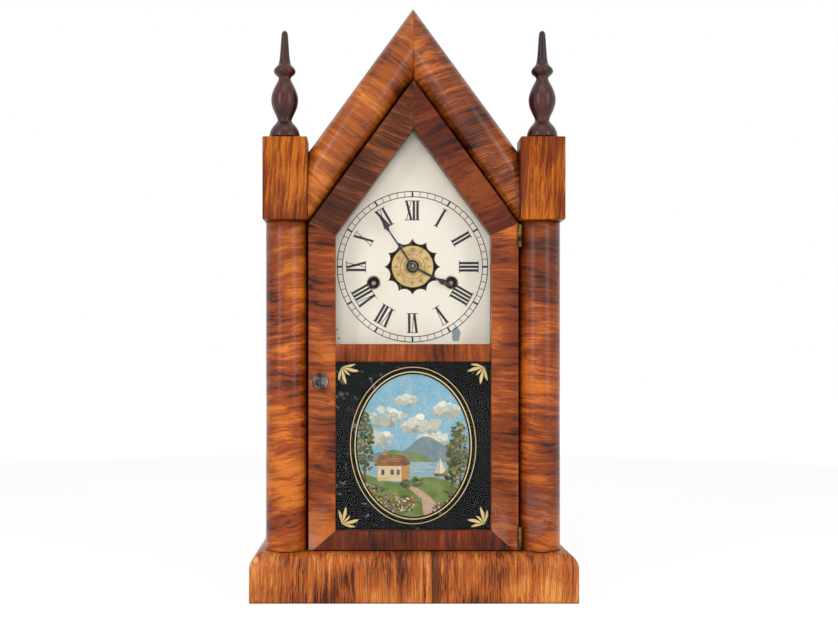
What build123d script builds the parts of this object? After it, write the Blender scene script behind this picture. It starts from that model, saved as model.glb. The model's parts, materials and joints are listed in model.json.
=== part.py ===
from build123d import *
import math
import os

os.makedirs("parts", exist_ok=True)

# A steeple clock standing on its base. X runs to the viewer's right, Y to the back, Z up, in millimetres.
# The origin is on the surface that the clock stands on, under the middle of its box.

# case
case_half_width = 122.5
case_depth = 80.0
case_front = -26.0
side_thickness = 9.0
backboard_thickness = 7.0
roof_thickness = 7.0
frame_thickness = 10.0
frame_overlap = 4.2
bottom_board_top = 47.0
bottom_board_thickness = 10.0
slope_angle = 36.15
glue_line = 0.1
roof_inset = 1.0

# mouldings, columns, capitals and finials
base_height = 41.5
base_depth = 28.0
base_side_width = 14.3
base_round = 12.5
moulding_width = 35.3
moulding_flat = 2.35
capital_width = 37.1
capital_height = 69.0
capital_depth = 26.0
capital_ease = 0.6
column_top = 319.0
finial_offset = 1.0
tenon_radius = 3.0
tenon_length = 12.0

# door
door_half_width = 88.2
door_shoulder = 316.8
door_thickness = 14.5
door_gap = 1.55
door_bottom_gap = 0.7
door_back_gap = 0.5
gable_gap = 2.0
stile_width = 22.5
gable_rail_width = 23.75
bottom_rail_height = 16.3
middle_rail_bottom = 200.8
middle_rail_height = 14.7
rebate_width = 4.0
rebate_depth = 6.0
bottom_mitre_angle = 41.0
glass_thickness = 2.0
glass_clearance = 0.4
putty_depth = 4.0

# hinges and latch
hinge_height = 19.0
hinge_top_gap = 0.7
hinge_out = 1.1
hinge_forward = 1.0
knuckle_radius = 1.7
hinge_pin_radius = 0.7
hinge_fit = 0.05
hinge_clearance = 0.3
leaf_thickness = 0.7
door_leaf_depth = 12.0
case_leaf_depth = 10.0
knob_height = 184.3
knob_inset = 10.4
knob_radius = 7.1
knob_length = 11.0
knob_neck_radius = 3.1
knob_foot_radius = 4.4
knob_rim_depth = 2.6
knob_face_radius = 4.8
spindle_radius = 1.75
spindle_fit = 0.08
tongue_length = 12.6
tongue_width = 5.0
tongue_thickness = 2.0
tongue_gap = 5.0
mortise_clearance = 0.7

# dial and hands
dial_height = 282.7
dial_thickness = 0.6
dial_gap = 2.5
dial_bottom = 203.0
cleat_thickness = 8.0
cleat_below_dial = 67.7
cleat_above_dial = 17.3
cleat_overlap = 15.0
peak_cleat_overlap = 20.0
peak_cleat_bottom_half_width = 12.0
peak_cleat_top_half_width = 20.0
dial_screw_radius = 0.9
dial_screw_head = 0.6
dial_screw_inset = 5.0
dial_screw_end_gap = 6.0
peak_screw_drop = 12.0
winding_hole_radius = 5.0
winding_spread = 33.56
winding_drop = 13.7
star_points = 12
star_tip_radius = 24.4
star_waist_radius = 20.1
minute_hand_length = 58.3
hour_hand_length = 41.5
minute_hand_angle = -34.0
hour_hand_angle = 117.0
hand_thickness = 0.6
minute_hub_width = 1.4
hour_hub_width = 2.3
minute_hand_half_widths = (0.8, 0.6, 2.2)
hour_hand_half_widths = (0.9, 0.8, 2.6)
pipe_radius = 3.4
minute_arbor_radius = 1.4
alarm_disc_radius = 18.0
alarm_disc_thickness = 0.8

# movement
movement_front = 4.0
plate_thickness = 1.5
plate_gap = 32.0
plate_half_width = 50.0
plate_below_dial = 52.7
plate_above_dial = 55.3
pillar_radius = 3.0
pillar_end_radius = 1.5
pillar_clearance = 0.6
pillar_inset = 6.0
pillar_top_inset = 8.0
running_fit = 0.05
lower_screw_spread = 46.0
upper_screw_spread = 30.0
screw_inset = 4.0
screw_bite = 4.0
movement_screw_head = 1.8
train_arbor_radius = 0.9
winding_arbor_radius = 2.2
great_teeth = 72
great_module = 0.75
second_pins = 8
train_teeth = 54
train_module = 0.55
train_pins = 7
wheel_thickness = 1.2
strike_second_bearing = 75.0
fly_bearing = 100.0
escape_teeth = 40
escape_radius = 13.0
escape_tooth_depth = 1.8
escape_window_spread = 6.0
escape_window_radius = 2.6
escape_drop = 17.0
centre_wheel_teeth = 48
centre_drive_teeth = 24
centre_module = 0.5
centre_hub_radius = 3.4
centre_hub_length = 5.0
train_windows = 5
cannon_teeth = 10
motion_wheel_teeth = 30
motion_module = 0.6
motion_pinion_teeth = 10
hour_wheel_teeth = 40
hour_module = 0.48
spring_width = 18.0
spring_thickness = 0.5
spring_growth = 0.7
spring_half_turns = 27
spring_inner_radius = 3.0
suspension_above_dial = 45.3
suspension_x = -10.0
pendulum_length = 140.0
bob_radius = 17.0
bob_thickness = 9.0
rod_radius = 0.9

# gong and hammers
gong_x = 6.0
gong_height = 112.0
gong_inner_radius = 12.0
gong_growth = 2.8
gong_half_turns = 10
gong_wire_width = 1.6
gong_wire_depth = 3.2
gong_front = 30.0
gong_foot_radius = 16.0
gong_post_half_width = 4.0
foot_thickness = 3.0
hammer_gap = 1.5
hammer_arbor_offset = 18.0
hammer_arbor_lift = 6.0
hammer_radius = 4.5
alarm_hammer_radius = 4.0
alarm_arm_length = 49.5
alarm_head_lift = 6.0
arm_radius = 0.8
hammer_half_length = 4.5
stud_radius = 1.5
stud_cap_width = 1.0
stud_cap_thickness = 1.3
hub_wall = 1.6
hub_half_length = 2.4
hub_clearance = 0.3
bracket_half_width = 13.0
bracket_half_height = 16.0

# places worked out from the sizes above
slope = math.tan(math.radians(slope_angle))
slope_sine = math.sin(math.radians(slope_angle))
slope_cosine = math.cos(math.radians(slope_angle))
case_back = case_front + case_depth
frame_back = case_front + frame_thickness
backboard_front = case_back - backboard_thickness
base_front = case_front - base_depth
base_half_width = case_half_width + base_side_width
moulding_radius = moulding_width / 2
column_x = door_half_width + door_gap + moulding_radius
capital_inner = column_x - capital_width / 2
capital_front = case_front - capital_depth
capital_top = column_top + capital_height
door_back = case_front - door_back_gap
door_front = door_back - door_thickness
door_bottom = base_height + door_bottom_gap
door_peak = door_shoulder + door_half_width / slope
moulding_inner_peak = door_peak + gable_gap / slope_sine
moulding_outer_peak = moulding_inner_peak + moulding_width / slope_sine
roof_peak = moulding_outer_peak - roof_inset / slope_sine
roof_under_peak = roof_peak - roof_thickness / slope_sine
frame_half_opening = door_half_width - frame_overlap
frame_opening_peak = door_peak - frame_overlap / slope_sine
opening_half_width = door_half_width - stile_width
upper_opening_bottom = middle_rail_bottom + middle_rail_height
upper_opening_peak = door_peak - gable_rail_width / slope_sine
lower_opening_bottom = door_bottom + bottom_rail_height
glass_front = door_front + rebate_depth
dial_back = frame_back
dial_front = dial_back - dial_thickness
cleat_bottom = dial_height - cleat_below_dial
cleat_top = dial_height + cleat_above_dial
dial_half_width = frame_half_opening - dial_gap
dial_peak = frame_opening_peak - dial_gap / slope_sine
winding_height = dial_height - winding_drop
plate_bottom = dial_height - plate_below_dial
plate_top = dial_height + plate_above_dial
suspension_height = dial_height + suspension_above_dial
front_plate_back = movement_front + plate_thickness
back_plate_front = front_plate_back + plate_gap
back_plate_back = back_plate_front + plate_thickness


def at_depth(y):
    # a plane facing the front at this depth, where a sketch's second axis is the height
    return Plane.XZ.offset(-y)


def add_face(face, front, back, mode=Mode.ADD):
    # thickens a face that was drawn at depth back, up to depth front
    extrude(face, amount=back - front, mode=mode)


def add_board(outline, front, back, mode=Mode.ADD):
    # a flat piece with this outline, seen from the front
    with BuildSketch(at_depth(back)) as face:
        with BuildLine():
            Polyline(*outline, close=True)
        make_face()
    add_face(face.sketch, front, back, mode)


def add_round(x, z, radius, front, back, mode=Mode.ADD):
    # a round bar or hole that runs from front to back
    with BuildSketch(at_depth(back)) as face:
        with Locations((x, z)):
            Circle(radius)
    add_face(face.sketch, front, back, mode)


def add_upright(x, y, radius, bottom, top, mode=Mode.ADD):
    # a round bar or hole that stands upright
    with BuildSketch(Plane.XY.offset(bottom)) as face:
        with Locations((x, y)):
            Circle(radius)
    extrude(face.sketch, amount=top - bottom, mode=mode)


def add_block(x_range, y_range, z_range, mode=Mode.ADD):
    # a plain block between these limits
    (left, right), (low, high) = x_range, z_range
    add_board([(left, low), (right, low), (right, high), (left, high)], *y_range, mode)


def add_wire(start, end, y, radius, mode=Mode.ADD):
    # a straight round wire between two front-view points at one depth
    path = Vector(end[0] - start[0], 0, end[1] - start[1])
    with BuildSketch(Plane(origin=(start[0], y, start[1]), z_dir=path)) as face:
        Circle(radius)
    extrude(face.sketch, amount=path.length, mode=mode)


def gabled(half_width, bottom, peak):
    # an outline with upright sides and the clock's pointed top
    shoulder = peak - half_width / slope
    right = [(half_width, bottom), (half_width, shoulder)]
    return right + [(0, peak)] + [(-x, z) for x, z in reversed(right)]


def grown(half_width, bottom, peak, margin):
    # the same outline moved outwards all round
    return gabled(half_width + margin, bottom - margin, peak + margin / slope_sine)


def mirrored(points, side):
    return [(side * x, z) for x, z in points]


def save(piece, label):
    piece.part.label = label
    export_step(piece.part, f"parts/{label}.step")


def line_height(peak, x):
    # the height of a sloping line of the gable at this distance from the middle
    return peak - abs(x) / slope


# base mouldings, mitred at the front corners
with BuildPart() as base_front_moulding:
    with BuildSketch(Plane.YZ.offset(-base_half_width)):
        with BuildLine():
            Polyline((base_front, base_height - base_round), (base_front, 0), (case_front, 0))
            Polyline((case_front, 0), (case_front, base_height), (base_front + base_round, base_height))
            RadiusArc(
                (base_front + base_round, base_height), (base_front, base_height - base_round), -base_round
            )
        make_face()
    extrude(amount=2 * base_half_width)
    with BuildSketch(Plane.XY):
        with BuildLine():
            Polyline(
                (-base_half_width, base_front),
                (base_half_width, base_front),
                (case_half_width, base_front + base_side_width),
                (case_half_width, case_front),
                (-case_half_width, case_front),
                (-case_half_width, base_front + base_side_width),
                close=True,
            )
        make_face()
    extrude(amount=base_height, mode=Mode.INTERSECT)
save(base_front_moulding, "base_front_moulding")

with BuildPart() as right_return:
    with BuildSketch(at_depth(case_back)):
        with BuildLine():
            Polyline(
                (base_half_width, base_height - base_round),
                (base_half_width, 0),
                (case_half_width, 0),
                (case_half_width, base_height),
                (base_half_width - base_round, base_height),
            )
            RadiusArc(
                (base_half_width - base_round, base_height),
                (base_half_width, base_height - base_round),
                base_round,
            )
        make_face()
    extrude(amount=case_back - base_front)
    with BuildSketch(Plane.XY):
        with BuildLine():
            Polyline(
                (base_half_width, base_front),
                (base_half_width, case_back),
                (case_half_width, case_back),
                (case_half_width, base_front + base_side_width),
                close=True,
            )
        make_face()
    extrude(amount=base_height, mode=Mode.INTERSECT)
with BuildPart() as base_returns:
    add(right_return.part)
    mirror(right_return.part, about=Plane.YZ)
save(base_returns, "base_returns")

# case boards
inner_half_width = case_half_width - side_thickness
side_outline = [
    (inner_half_width, 0),
    (case_half_width, 0),
    (case_half_width, line_height(roof_under_peak, case_half_width)),
    (inner_half_width, line_height(roof_under_peak, inner_half_width)),
]
with BuildPart() as side_boards:
    for side in (-1, 1):
        add_board(mirrored(side_outline, side), frame_back, case_back)
save(side_boards, "side_boards")

roof_outline = [
    (case_half_width, line_height(roof_under_peak, case_half_width)),
    (case_half_width, line_height(roof_peak, case_half_width)),
    (glue_line / 2, line_height(roof_peak, glue_line / 2)),
    (glue_line / 2, line_height(roof_under_peak, glue_line / 2)),
]
with BuildPart() as roof_boards:
    for side in (-1, 1):
        add_board(mirrored(roof_outline, side), frame_back, case_back)
save(roof_boards, "roof_boards")

with BuildPart() as bottom_board:
    add_block(
        (-inner_half_width, inner_half_width),
        (frame_back, backboard_front),
        (bottom_board_top - bottom_board_thickness, bottom_board_top),
    )
save(bottom_board, "bottom_board")

movement_screw_spots = [
    (side * spread, height)
    for side in (-1, 1)
    for spread, height in (
        (lower_screw_spread, plate_bottom + screw_inset),
        (upper_screw_spread, plate_top - screw_inset),
    )
]
movement_screw_radius = 1.5
movement_screw_end = backboard_front + screw_bite

with BuildPart() as backboard:
    add_board(gabled(inner_half_width, 0, roof_under_peak), backboard_front, case_back)
    for x, z in movement_screw_spots:
        add_round(x, z, movement_screw_radius, backboard_front, movement_screw_end, Mode.SUBTRACT)
save(backboard, "backboard")

# hinge places, shared by the door, the frame and the leaves
hinge_x = door_half_width + hinge_out
hinge_y = door_front - hinge_forward
upper_hinge_bottom = door_shoulder - hinge_top_gap - hinge_height
lower_hinge_bottom = door_bottom + hinge_top_gap
hinge_bottoms = (lower_hinge_bottom, upper_hinge_bottom)
case_leaf_end = case_front + case_leaf_depth - hinge_clearance

# latch places
knob_x = -(door_half_width - knob_inset)
tongue_front = door_back + tongue_gap

# the frame behind the columns and gable mouldings, with the latch mortise and two hinge slots
stile_outline = [
    (frame_half_opening, 0),
    (case_half_width, 0),
    (case_half_width, line_height(roof_peak, case_half_width) - glue_line),
    (frame_half_opening, line_height(frame_opening_peak, frame_half_opening) - glue_line),
]
gable_outline = [
    (frame_half_opening, line_height(frame_opening_peak, frame_half_opening)),
    (case_half_width, line_height(roof_peak, case_half_width)),
    (glue_line / 2, line_height(roof_peak, glue_line / 2)),
    (glue_line / 2, line_height(frame_opening_peak, glue_line / 2)),
]
with BuildPart() as front_frame:
    for side in (-1, 1):
        add_board(mirrored(stile_outline, side), case_front, frame_back)
        add_board(mirrored(gable_outline, side), case_front, frame_back)
    add_block(
        (-frame_half_opening + glue_line, frame_half_opening - glue_line),
        (case_front, frame_back),
        (0, bottom_board_top),
    )
    add_block(
        (knob_x - tongue_length - mortise_clearance, -frame_half_opening),
        (tongue_front - mortise_clearance, tongue_front + tongue_thickness + mortise_clearance),
        (knob_height - tongue_width / 2 - mortise_clearance, knob_height + tongue_length + mortise_clearance),
        Mode.SUBTRACT,
    )
    for bottom in hinge_bottoms:
        add_block(
            (hinge_x - leaf_thickness / 2, hinge_x + leaf_thickness / 2),
            (case_front, case_leaf_end),
            (bottom, bottom + hinge_height),
            Mode.SUBTRACT,
        )
save(front_frame, "front_frame")


def add_half_round(plane, length):
    # the moulding of the columns and the gable: flat back, short straight sides and a round front
    with BuildSketch(plane) as section:
        with BuildLine():
            left, right = (-moulding_radius, -moulding_flat), (moulding_radius, -moulding_flat)
            Polyline(left, (-moulding_radius, 0), (moulding_radius, 0), right)
            ThreePointArc(right, (0, -moulding_flat - moulding_radius), left)
        make_face()
    extrude(section.sketch, amount=length)


for side, hand in ((-1, "left"), (1, "right")):
    with BuildPart() as column:
        column_foot = Plane(origin=(side * column_x, case_front, base_height), x_dir=(1, 0, 0))
        add_half_round(column_foot, column_top - base_height)
    save(column, f"{hand}_column")

# gable mouldings, mitred at the peak and cut upright against the capitals
moulding_middle_peak = (moulding_inner_peak + moulding_outer_peak) / 2
moulding_foot_x = capital_inner + moulding_width
gable_foot = Plane(
    origin=(moulding_foot_x, case_front, line_height(moulding_middle_peak, moulding_foot_x)),
    x_dir=(slope_cosine, 0, slope_sine),
    z_dir=(-slope_sine, 0, slope_cosine),
)
with BuildPart() as right_gable_moulding:
    add_half_round(gable_foot, (moulding_foot_x + moulding_width) / slope_sine)
    split(bisect_by=Plane.YZ, keep=Keep.TOP)
    split(bisect_by=Plane.YZ.offset(capital_inner), keep=Keep.BOTTOM)
save(right_gable_moulding, "right_gable_moulding")

with BuildPart() as left_gable_moulding:
    mirror(right_gable_moulding.part, about=Plane.YZ)
save(left_gable_moulding, "left_gable_moulding")

# capitals with a blind hole for the finial's tenon
capital_y = (capital_front + case_front) / 2
finial_x = column_x + finial_offset
tenon_clearance = 0.05
for side, hand in ((-1, "left"), (1, "right")):
    with BuildPart() as capital:
        with BuildSketch(Plane.XY.offset(column_top)):
            with Locations((side * column_x, capital_y)):
                Rectangle(capital_width, capital_depth)
        extrude(amount=capital_height)
        chamfer(capital.edges(), capital_ease)
        add_upright(
            side * finial_x,
            capital_y,
            tenon_radius + tenon_clearance,
            capital_top - tenon_length - tenon_clearance,
            capital_top,
            Mode.SUBTRACT,
        )
    save(capital, f"{hand}_capital")

# finials: tenon, dome, bulb, two beads, collar and spire, given as radius and height above the capital
finial_foot_radius = 13.7
finial_foot_height = 3.5
waist_radius, waist_height = 4.45, 13.8
neck_radius, neck_height = 3.9, 50.0
bead_radius, bead_height = 5.2, 2.9
collar_radius, collar_height = 9.2, 58.1
finial_height = 91.3
for side, hand in ((-1, "left"), (1, "right")):
    stand = Plane(origin=(side * finial_x, capital_y, capital_top), x_dir=(1, 0, 0), z_dir=(0, -1, 0))
    with BuildPart() as finial:
        with BuildSketch(stand):
            with BuildLine():
                Polyline(
                    (0, 0),
                    (0, -tenon_length),
                    (tenon_radius, -tenon_length),
                    (tenon_radius, 0),
                    (finial_foot_radius, 0),
                    (finial_foot_radius, finial_foot_height),
                )
                Spline(
                    (finial_foot_radius, finial_foot_height),
                    (11.8, 7.0),
                    (7.5, 10.9),
                    (waist_radius, waist_height),
                )
                Spline(
                    (waist_radius, waist_height),
                    (8.4, 20.4),
                    (11.6, 30.4),
                    (8.8, 40.9),
                    (5.2, 46.3),
                    (neck_radius, neck_height),
                )
                ThreePointArc(
                    (neck_radius, neck_height),
                    (bead_radius, neck_height + bead_height / 2),
                    (neck_radius, neck_height + bead_height),
                )
                ThreePointArc(
                    (neck_radius, neck_height + bead_height),
                    (bead_radius, neck_height + 1.5 * bead_height),
                    (neck_radius, neck_height + 2 * bead_height),
                )
                Polyline((neck_radius, neck_height + 2 * bead_height), (collar_radius, collar_height - 0.9))
                Line((collar_radius, collar_height - 0.9), (collar_radius, collar_height))
                Spline(
                    (collar_radius, collar_height),
                    (6.3, 60.9),
                    (4.1, 66.1),
                    (3.2, 72.0),
                    (2.9, 81.2),
                    (2.3, 88.5),
                    (0, finial_height),
                )
                Line((0, finial_height), (0, 0))
            make_face()
        revolve(axis=Axis((side * finial_x, capital_y, 0), (0, 0, 1)))
    save(finial, f"{hand}_finial")

# door frame members, butted and mitred, each with its share of the glass rebates
upper_opening = (opening_half_width, upper_opening_bottom, upper_opening_peak)
opening_shoulder = line_height(upper_opening_peak, opening_half_width)
mitre_foot_x = opening_half_width + bottom_rail_height / math.tan(math.radians(bottom_mitre_angle))


def lower_outline(margin):
    # the outline of the lower opening moved outwards by a margin
    half = opening_half_width + margin
    bottom, top = lower_opening_bottom - margin, middle_rail_bottom + margin
    return [(-half, bottom), (half, bottom), (half, top), (-half, top)]


def cut_rebates():
    add_board(grown(*upper_opening, rebate_width), glass_front, door_back, Mode.SUBTRACT)
    add_board(lower_outline(rebate_width), glass_front, door_back, Mode.SUBTRACT)


door_stile_outline = [
    (opening_half_width, lower_opening_bottom),
    (mitre_foot_x, door_bottom),
    (door_half_width, door_bottom),
    (door_half_width, door_shoulder),
    (opening_half_width, opening_shoulder),
]
with BuildPart() as door_latch_stile:
    add_board(mirrored(door_stile_outline, -1), door_front, door_back)
    cut_rebates()
    add_round(knob_x, knob_height, spindle_radius + spindle_fit, door_front, door_back, Mode.SUBTRACT)
save(door_latch_stile, "door_latch_stile")

with BuildPart() as door_hinge_stile:
    add_board(door_stile_outline, door_front, door_back)
    cut_rebates()
    for bottom in hinge_bottoms:
        add_upright(
            hinge_x,
            hinge_y,
            knuckle_radius + hinge_clearance,
            bottom - hinge_clearance,
            bottom + hinge_height + hinge_clearance,
            Mode.SUBTRACT,
        )
        add_block(
            (door_half_width - leaf_thickness, door_half_width),
            (door_front, hinge_y + door_leaf_depth),
            (bottom, bottom + hinge_height),
            Mode.SUBTRACT,
        )
save(door_hinge_stile, "door_hinge_stile")

with BuildPart() as door_bottom_rail:
    add_board(
        [
            (-mitre_foot_x, door_bottom),
            (mitre_foot_x, door_bottom),
            (opening_half_width, lower_opening_bottom),
            (-opening_half_width, lower_opening_bottom),
        ],
        door_front,
        door_back,
    )
    cut_rebates()
save(door_bottom_rail, "door_bottom_rail")

with BuildPart() as door_middle_rail:
    add_block(
        (-opening_half_width, opening_half_width),
        (door_front, door_back),
        (middle_rail_bottom, upper_opening_bottom),
    )
    cut_rebates()
save(door_middle_rail, "door_middle_rail")

gable_rail_outline = [
    (0, upper_opening_peak),
    (opening_half_width, opening_shoulder),
    (door_half_width, door_shoulder),
    (0, door_peak),
]
for side, hand in ((-1, "left"), (1, "right")):
    with BuildPart() as gable_rail:
        add_board(mirrored(gable_rail_outline, side), door_front, door_back)
        cut_rebates()
    save(gable_rail, f"door_{hand}_gable_rail")

# the two panes and the putty that holds them
glass_margin = rebate_width - glass_clearance
glass_back = glass_front + glass_thickness
with BuildPart() as upper_glass:
    add_board(grown(*upper_opening, glass_margin), glass_front, glass_back)
save(upper_glass, "upper_glass")

with BuildPart() as lower_glass:
    add_board(lower_outline(glass_margin), glass_front, glass_back)
save(lower_glass, "lower_glass")

with BuildPart() as glazing_putty:
    add_board(grown(*upper_opening, rebate_width), glass_back, glass_back + putty_depth)
    add_board(lower_outline(rebate_width), glass_back, glass_back + putty_depth)
    add_board(gabled(*upper_opening), glass_back, glass_back + putty_depth, Mode.SUBTRACT)
    add_board(lower_outline(0), glass_back, glass_back + putty_depth, Mode.SUBTRACT)
save(glazing_putty, "glazing_putty")


# hinges: three knuckles on a pin, the outer two on the case leaf
def knuckle_ranges(bottom):
    third = hinge_height / 3
    gap = hinge_clearance / 2
    return [(bottom + n * third + gap, bottom + (n + 1) * third - gap) for n in range(3)]


def add_knuckle(z_range):
    add_upright(hinge_x, hinge_y, knuckle_radius, *z_range)
    add_upright(hinge_x, hinge_y, hinge_pin_radius + hinge_fit, *z_range, Mode.SUBTRACT)


leaf_start = hinge_y + knuckle_radius + hinge_clearance
with BuildPart() as hinge_case_leaves:
    for bottom in hinge_bottoms:
        case_leaf_x = (hinge_x - leaf_thickness / 2, hinge_x + leaf_thickness / 2)
        add_block(case_leaf_x, (leaf_start, case_leaf_end), (bottom, bottom + hinge_height))
        for z_range in knuckle_ranges(bottom)[::2]:
            add_block(case_leaf_x, (hinge_y + hinge_pin_radius + hinge_clearance, leaf_start), z_range)
            add_knuckle(z_range)
        pin_range = (bottom - hinge_clearance, bottom + hinge_height + hinge_clearance)
        add_upright(hinge_x, hinge_y, hinge_pin_radius, *pin_range)
save(hinge_case_leaves, "hinge_case_leaves")

with BuildPart() as hinge_door_leaves:
    for bottom in hinge_bottoms:
        door_leaf_x = (door_half_width - leaf_thickness, door_half_width)
        middle_range = knuckle_ranges(bottom)[1]
        add_block(door_leaf_x, (leaf_start, hinge_y + door_leaf_depth), (bottom, bottom + hinge_height))
        add_block(door_leaf_x, (hinge_y, leaf_start), middle_range)
        add_knuckle(middle_range)
save(hinge_door_leaves, "hinge_door_leaves")

# latch: a turned knob on a spindle, and the tongue that turns behind the frame
knob_front = door_front - knob_length
with BuildPart() as door_knob:
    with BuildSketch(Plane(origin=(knob_x, 0, knob_height))):
        with BuildLine():
            Polyline(
                (0, tongue_front + tongue_thickness),
                (spindle_radius, tongue_front + tongue_thickness),
                (spindle_radius, door_front - spindle_fit),
                (knob_foot_radius, door_front - spindle_fit),
            )
            Spline(
                (knob_foot_radius, door_front - spindle_fit),
                (knob_neck_radius, knob_front + 0.6 * knob_length),
                (knob_foot_radius, knob_front + 0.4 * knob_length),
                (knob_radius, knob_front + knob_rim_depth),
            )
            ThreePointArc(
                (knob_radius, knob_front + knob_rim_depth),
                (knob_radius - 0.6, knob_front + 0.35 * knob_rim_depth),
                (knob_face_radius, knob_front),
            )
            Polyline((knob_face_radius, knob_front), (0, knob_front), (0, tongue_front + tongue_thickness))
        make_face()
    revolve(axis=Axis((knob_x, 0, knob_height), (0, 1, 0)))
save(door_knob, "door_knob")

with BuildPart() as latch_tongue:
    add_block(
        (knob_x - tongue_width / 2, knob_x + tongue_width / 2),
        (tongue_front, tongue_front + tongue_thickness),
        (knob_height, knob_height + tongue_length),
    )
    tongue_depths = (tongue_front, tongue_front + tongue_thickness)
    add_round(knob_x, knob_height, tongue_width / 2 + 1, *tongue_depths)
    add_round(knob_x, knob_height, spindle_radius, *tongue_depths, Mode.SUBTRACT)
save(latch_tongue, "latch_tongue")

# dial, its cleats and the screws
dial_screw_spots = [
    (side * (dial_half_width - dial_screw_inset), height)
    for side in (-1, 1)
    for height in (cleat_bottom + dial_screw_end_gap, cleat_top - dial_screw_end_gap)
]
dial_screw_spots.append((0, dial_peak - peak_screw_drop))
dial_screw_end = dial_back + cleat_thickness - 1
with BuildPart() as dial_plate:
    add_board(gabled(dial_half_width, dial_bottom, dial_peak), dial_front, dial_back)
    with BuildSketch(at_depth(dial_back)) as star:
        with BuildLine():
            for n in range(star_points):
                around = [math.radians(90 + 360 * (n + part) / star_points) for part in (0, 0.5, 1)]
                radii = (star_tip_radius, star_waist_radius, star_tip_radius)
                ThreePointArc(
                    *[
                        (radius * math.cos(angle), dial_height + radius * math.sin(angle))
                        for radius, angle in zip(radii, around)
                    ]
                )
        make_face()
    add_face(star.sketch, dial_front, dial_back, Mode.SUBTRACT)
    for side in (-1, 1):
        winding_x = side * winding_spread
        add_round(winding_x, winding_height, winding_hole_radius, dial_front, dial_back, Mode.SUBTRACT)
    for x, z in dial_screw_spots:
        add_round(x, z, dial_screw_radius, dial_front, dial_back, Mode.SUBTRACT)
save(dial_plate, "dial_plate")

cleat_inner = dial_half_width - cleat_overlap
side_cleat_outline = [
    (cleat_inner, cleat_bottom),
    (inner_half_width, cleat_bottom),
    (inner_half_width, cleat_top),
    (cleat_inner, cleat_top),
]
peak_cleat_bottom = dial_peak - peak_cleat_overlap
peak_cleat_right = [
    (peak_cleat_bottom_half_width, peak_cleat_bottom),
    (peak_cleat_top_half_width, line_height(roof_under_peak, peak_cleat_top_half_width)),
]
peak_cleat_left = [(-x, z) for x, z in reversed(peak_cleat_right)]
with BuildPart() as dial_cleats:
    for side in (-1, 1):
        add_board(mirrored(side_cleat_outline, side), dial_back, dial_back + cleat_thickness)
    add_board(
        peak_cleat_right + [(0, roof_under_peak)] + peak_cleat_left, dial_back, dial_back + cleat_thickness
    )
    for x, z in dial_screw_spots:
        add_round(x, z, dial_screw_radius, dial_back, dial_screw_end, Mode.SUBTRACT)
save(dial_cleats, "dial_cleats")

with BuildPart() as wood_screws:
    for x, z in dial_screw_spots:
        add_round(x, z, dial_screw_radius, dial_front, dial_screw_end)
        add_round(x, z, 2 * dial_screw_radius, dial_front - dial_screw_head, dial_front)
    for x, z in movement_screw_spots:
        add_round(x, z, movement_screw_radius, back_plate_front, movement_screw_end)
        add_round(x, z, 2 * movement_screw_radius, back_plate_front - movement_screw_head, back_plate_front)
save(wood_screws, "wood_screws")

# movement: where each arbor stands, seen from the front
arbor_gap_great = great_module * (great_teeth + second_pins) / 2
arbor_gap_train = train_module * (train_teeth + train_pins) / 2
arbor_gap_centre = centre_module * (centre_wheel_teeth + centre_drive_teeth) / 2
arbor_gap_motion = motion_module * (cannon_teeth + motion_wheel_teeth) / 2


def polar(start, distance, degrees):
    # the front-view point at this distance and direction, turning anticlockwise from +X
    angle = math.radians(degrees)
    return (start[0] + distance * math.cos(angle), start[1] + distance * math.sin(angle))


def bearing(start, end):
    return math.degrees(math.atan2(end[1] - start[1], end[0] - start[0]))


def meeting(first, first_distance, second, second_distance, turn):
    # the point at these distances from two others, to the left of the way from first to second for turn +1
    apart = math.dist(first, second)
    along = (first_distance**2 - second_distance**2 + apart**2) / (2 * apart)
    corner = math.degrees(math.acos(along / first_distance))
    return polar(first, first_distance, bearing(first, second) + turn * corner)


centre_spot = (0, dial_height)
time_great_spot = (winding_spread, winding_height)
strike_great_spot = (-winding_spread, winding_height)
time_second_spot = meeting(time_great_spot, arbor_gap_great, centre_spot, arbor_gap_centre, -1)
escape_spot = (suspension_x, suspension_height - escape_drop)
time_third_spot = meeting(time_second_spot, arbor_gap_train, escape_spot, arbor_gap_train, -1)
strike_second_spot = polar(strike_great_spot, arbor_gap_great, strike_second_bearing)
fly_spot = polar(strike_second_spot, arbor_gap_train, fly_bearing)
motion_spot = (0, dial_height - arbor_gap_motion)
hammer_spot = (-hammer_arbor_offset, plate_bottom + hammer_arbor_lift)
great_tip_radius = great_module * (great_teeth / 2 + 0.8)
pillar_drop = great_tip_radius + pillar_radius + pillar_clearance
spring_pillar_height = winding_height - pillar_drop
pillar_spots = [
    (side * spread, height)
    for side in (-1, 1)
    for spread, height in (
        (winding_spread, spring_pillar_height),
        (plate_half_width - pillar_inset, plate_top - pillar_top_inset),
    )
]

# movement: depths of the wheels
great_front = back_plate_front - 4.5
great_thickness = 1.6
hour_front = front_plate_back + 0.7
second_front = front_plate_back + 2.5
motion_front = front_plate_back + 4.1
centre_front = front_plate_back + 6.1
spring_front = front_plate_back + 7.0
third_front = front_plate_back + 15.5
escape_front = movement_front - 3.2
shroud_thickness = 0.6
shroud_gap = 0.3
arbor_start = movement_front + 0.2
arbor_end = back_plate_back - 0.2


def tooth_points(spot, teeth, module, gap_bearing):
    # a wheel outline: tapered teeth, with the middle of a gap at gap_bearing degrees
    pitch = 360 / teeth
    root_radius, tip_radius = module * (teeth / 2 - 1), module * (teeth / 2 + 0.8)
    root_half, tip_half = 0.25 * pitch, 0.08 * pitch
    points = []
    for n in range(teeth):
        middle = gap_bearing + (n + 0.5) * pitch
        points += [polar(spot, root_radius, middle - root_half), polar(spot, tip_radius, middle - tip_half)]
        points += [polar(spot, tip_radius, middle + tip_half), polar(spot, root_radius, middle + root_half)]
    return points


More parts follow.
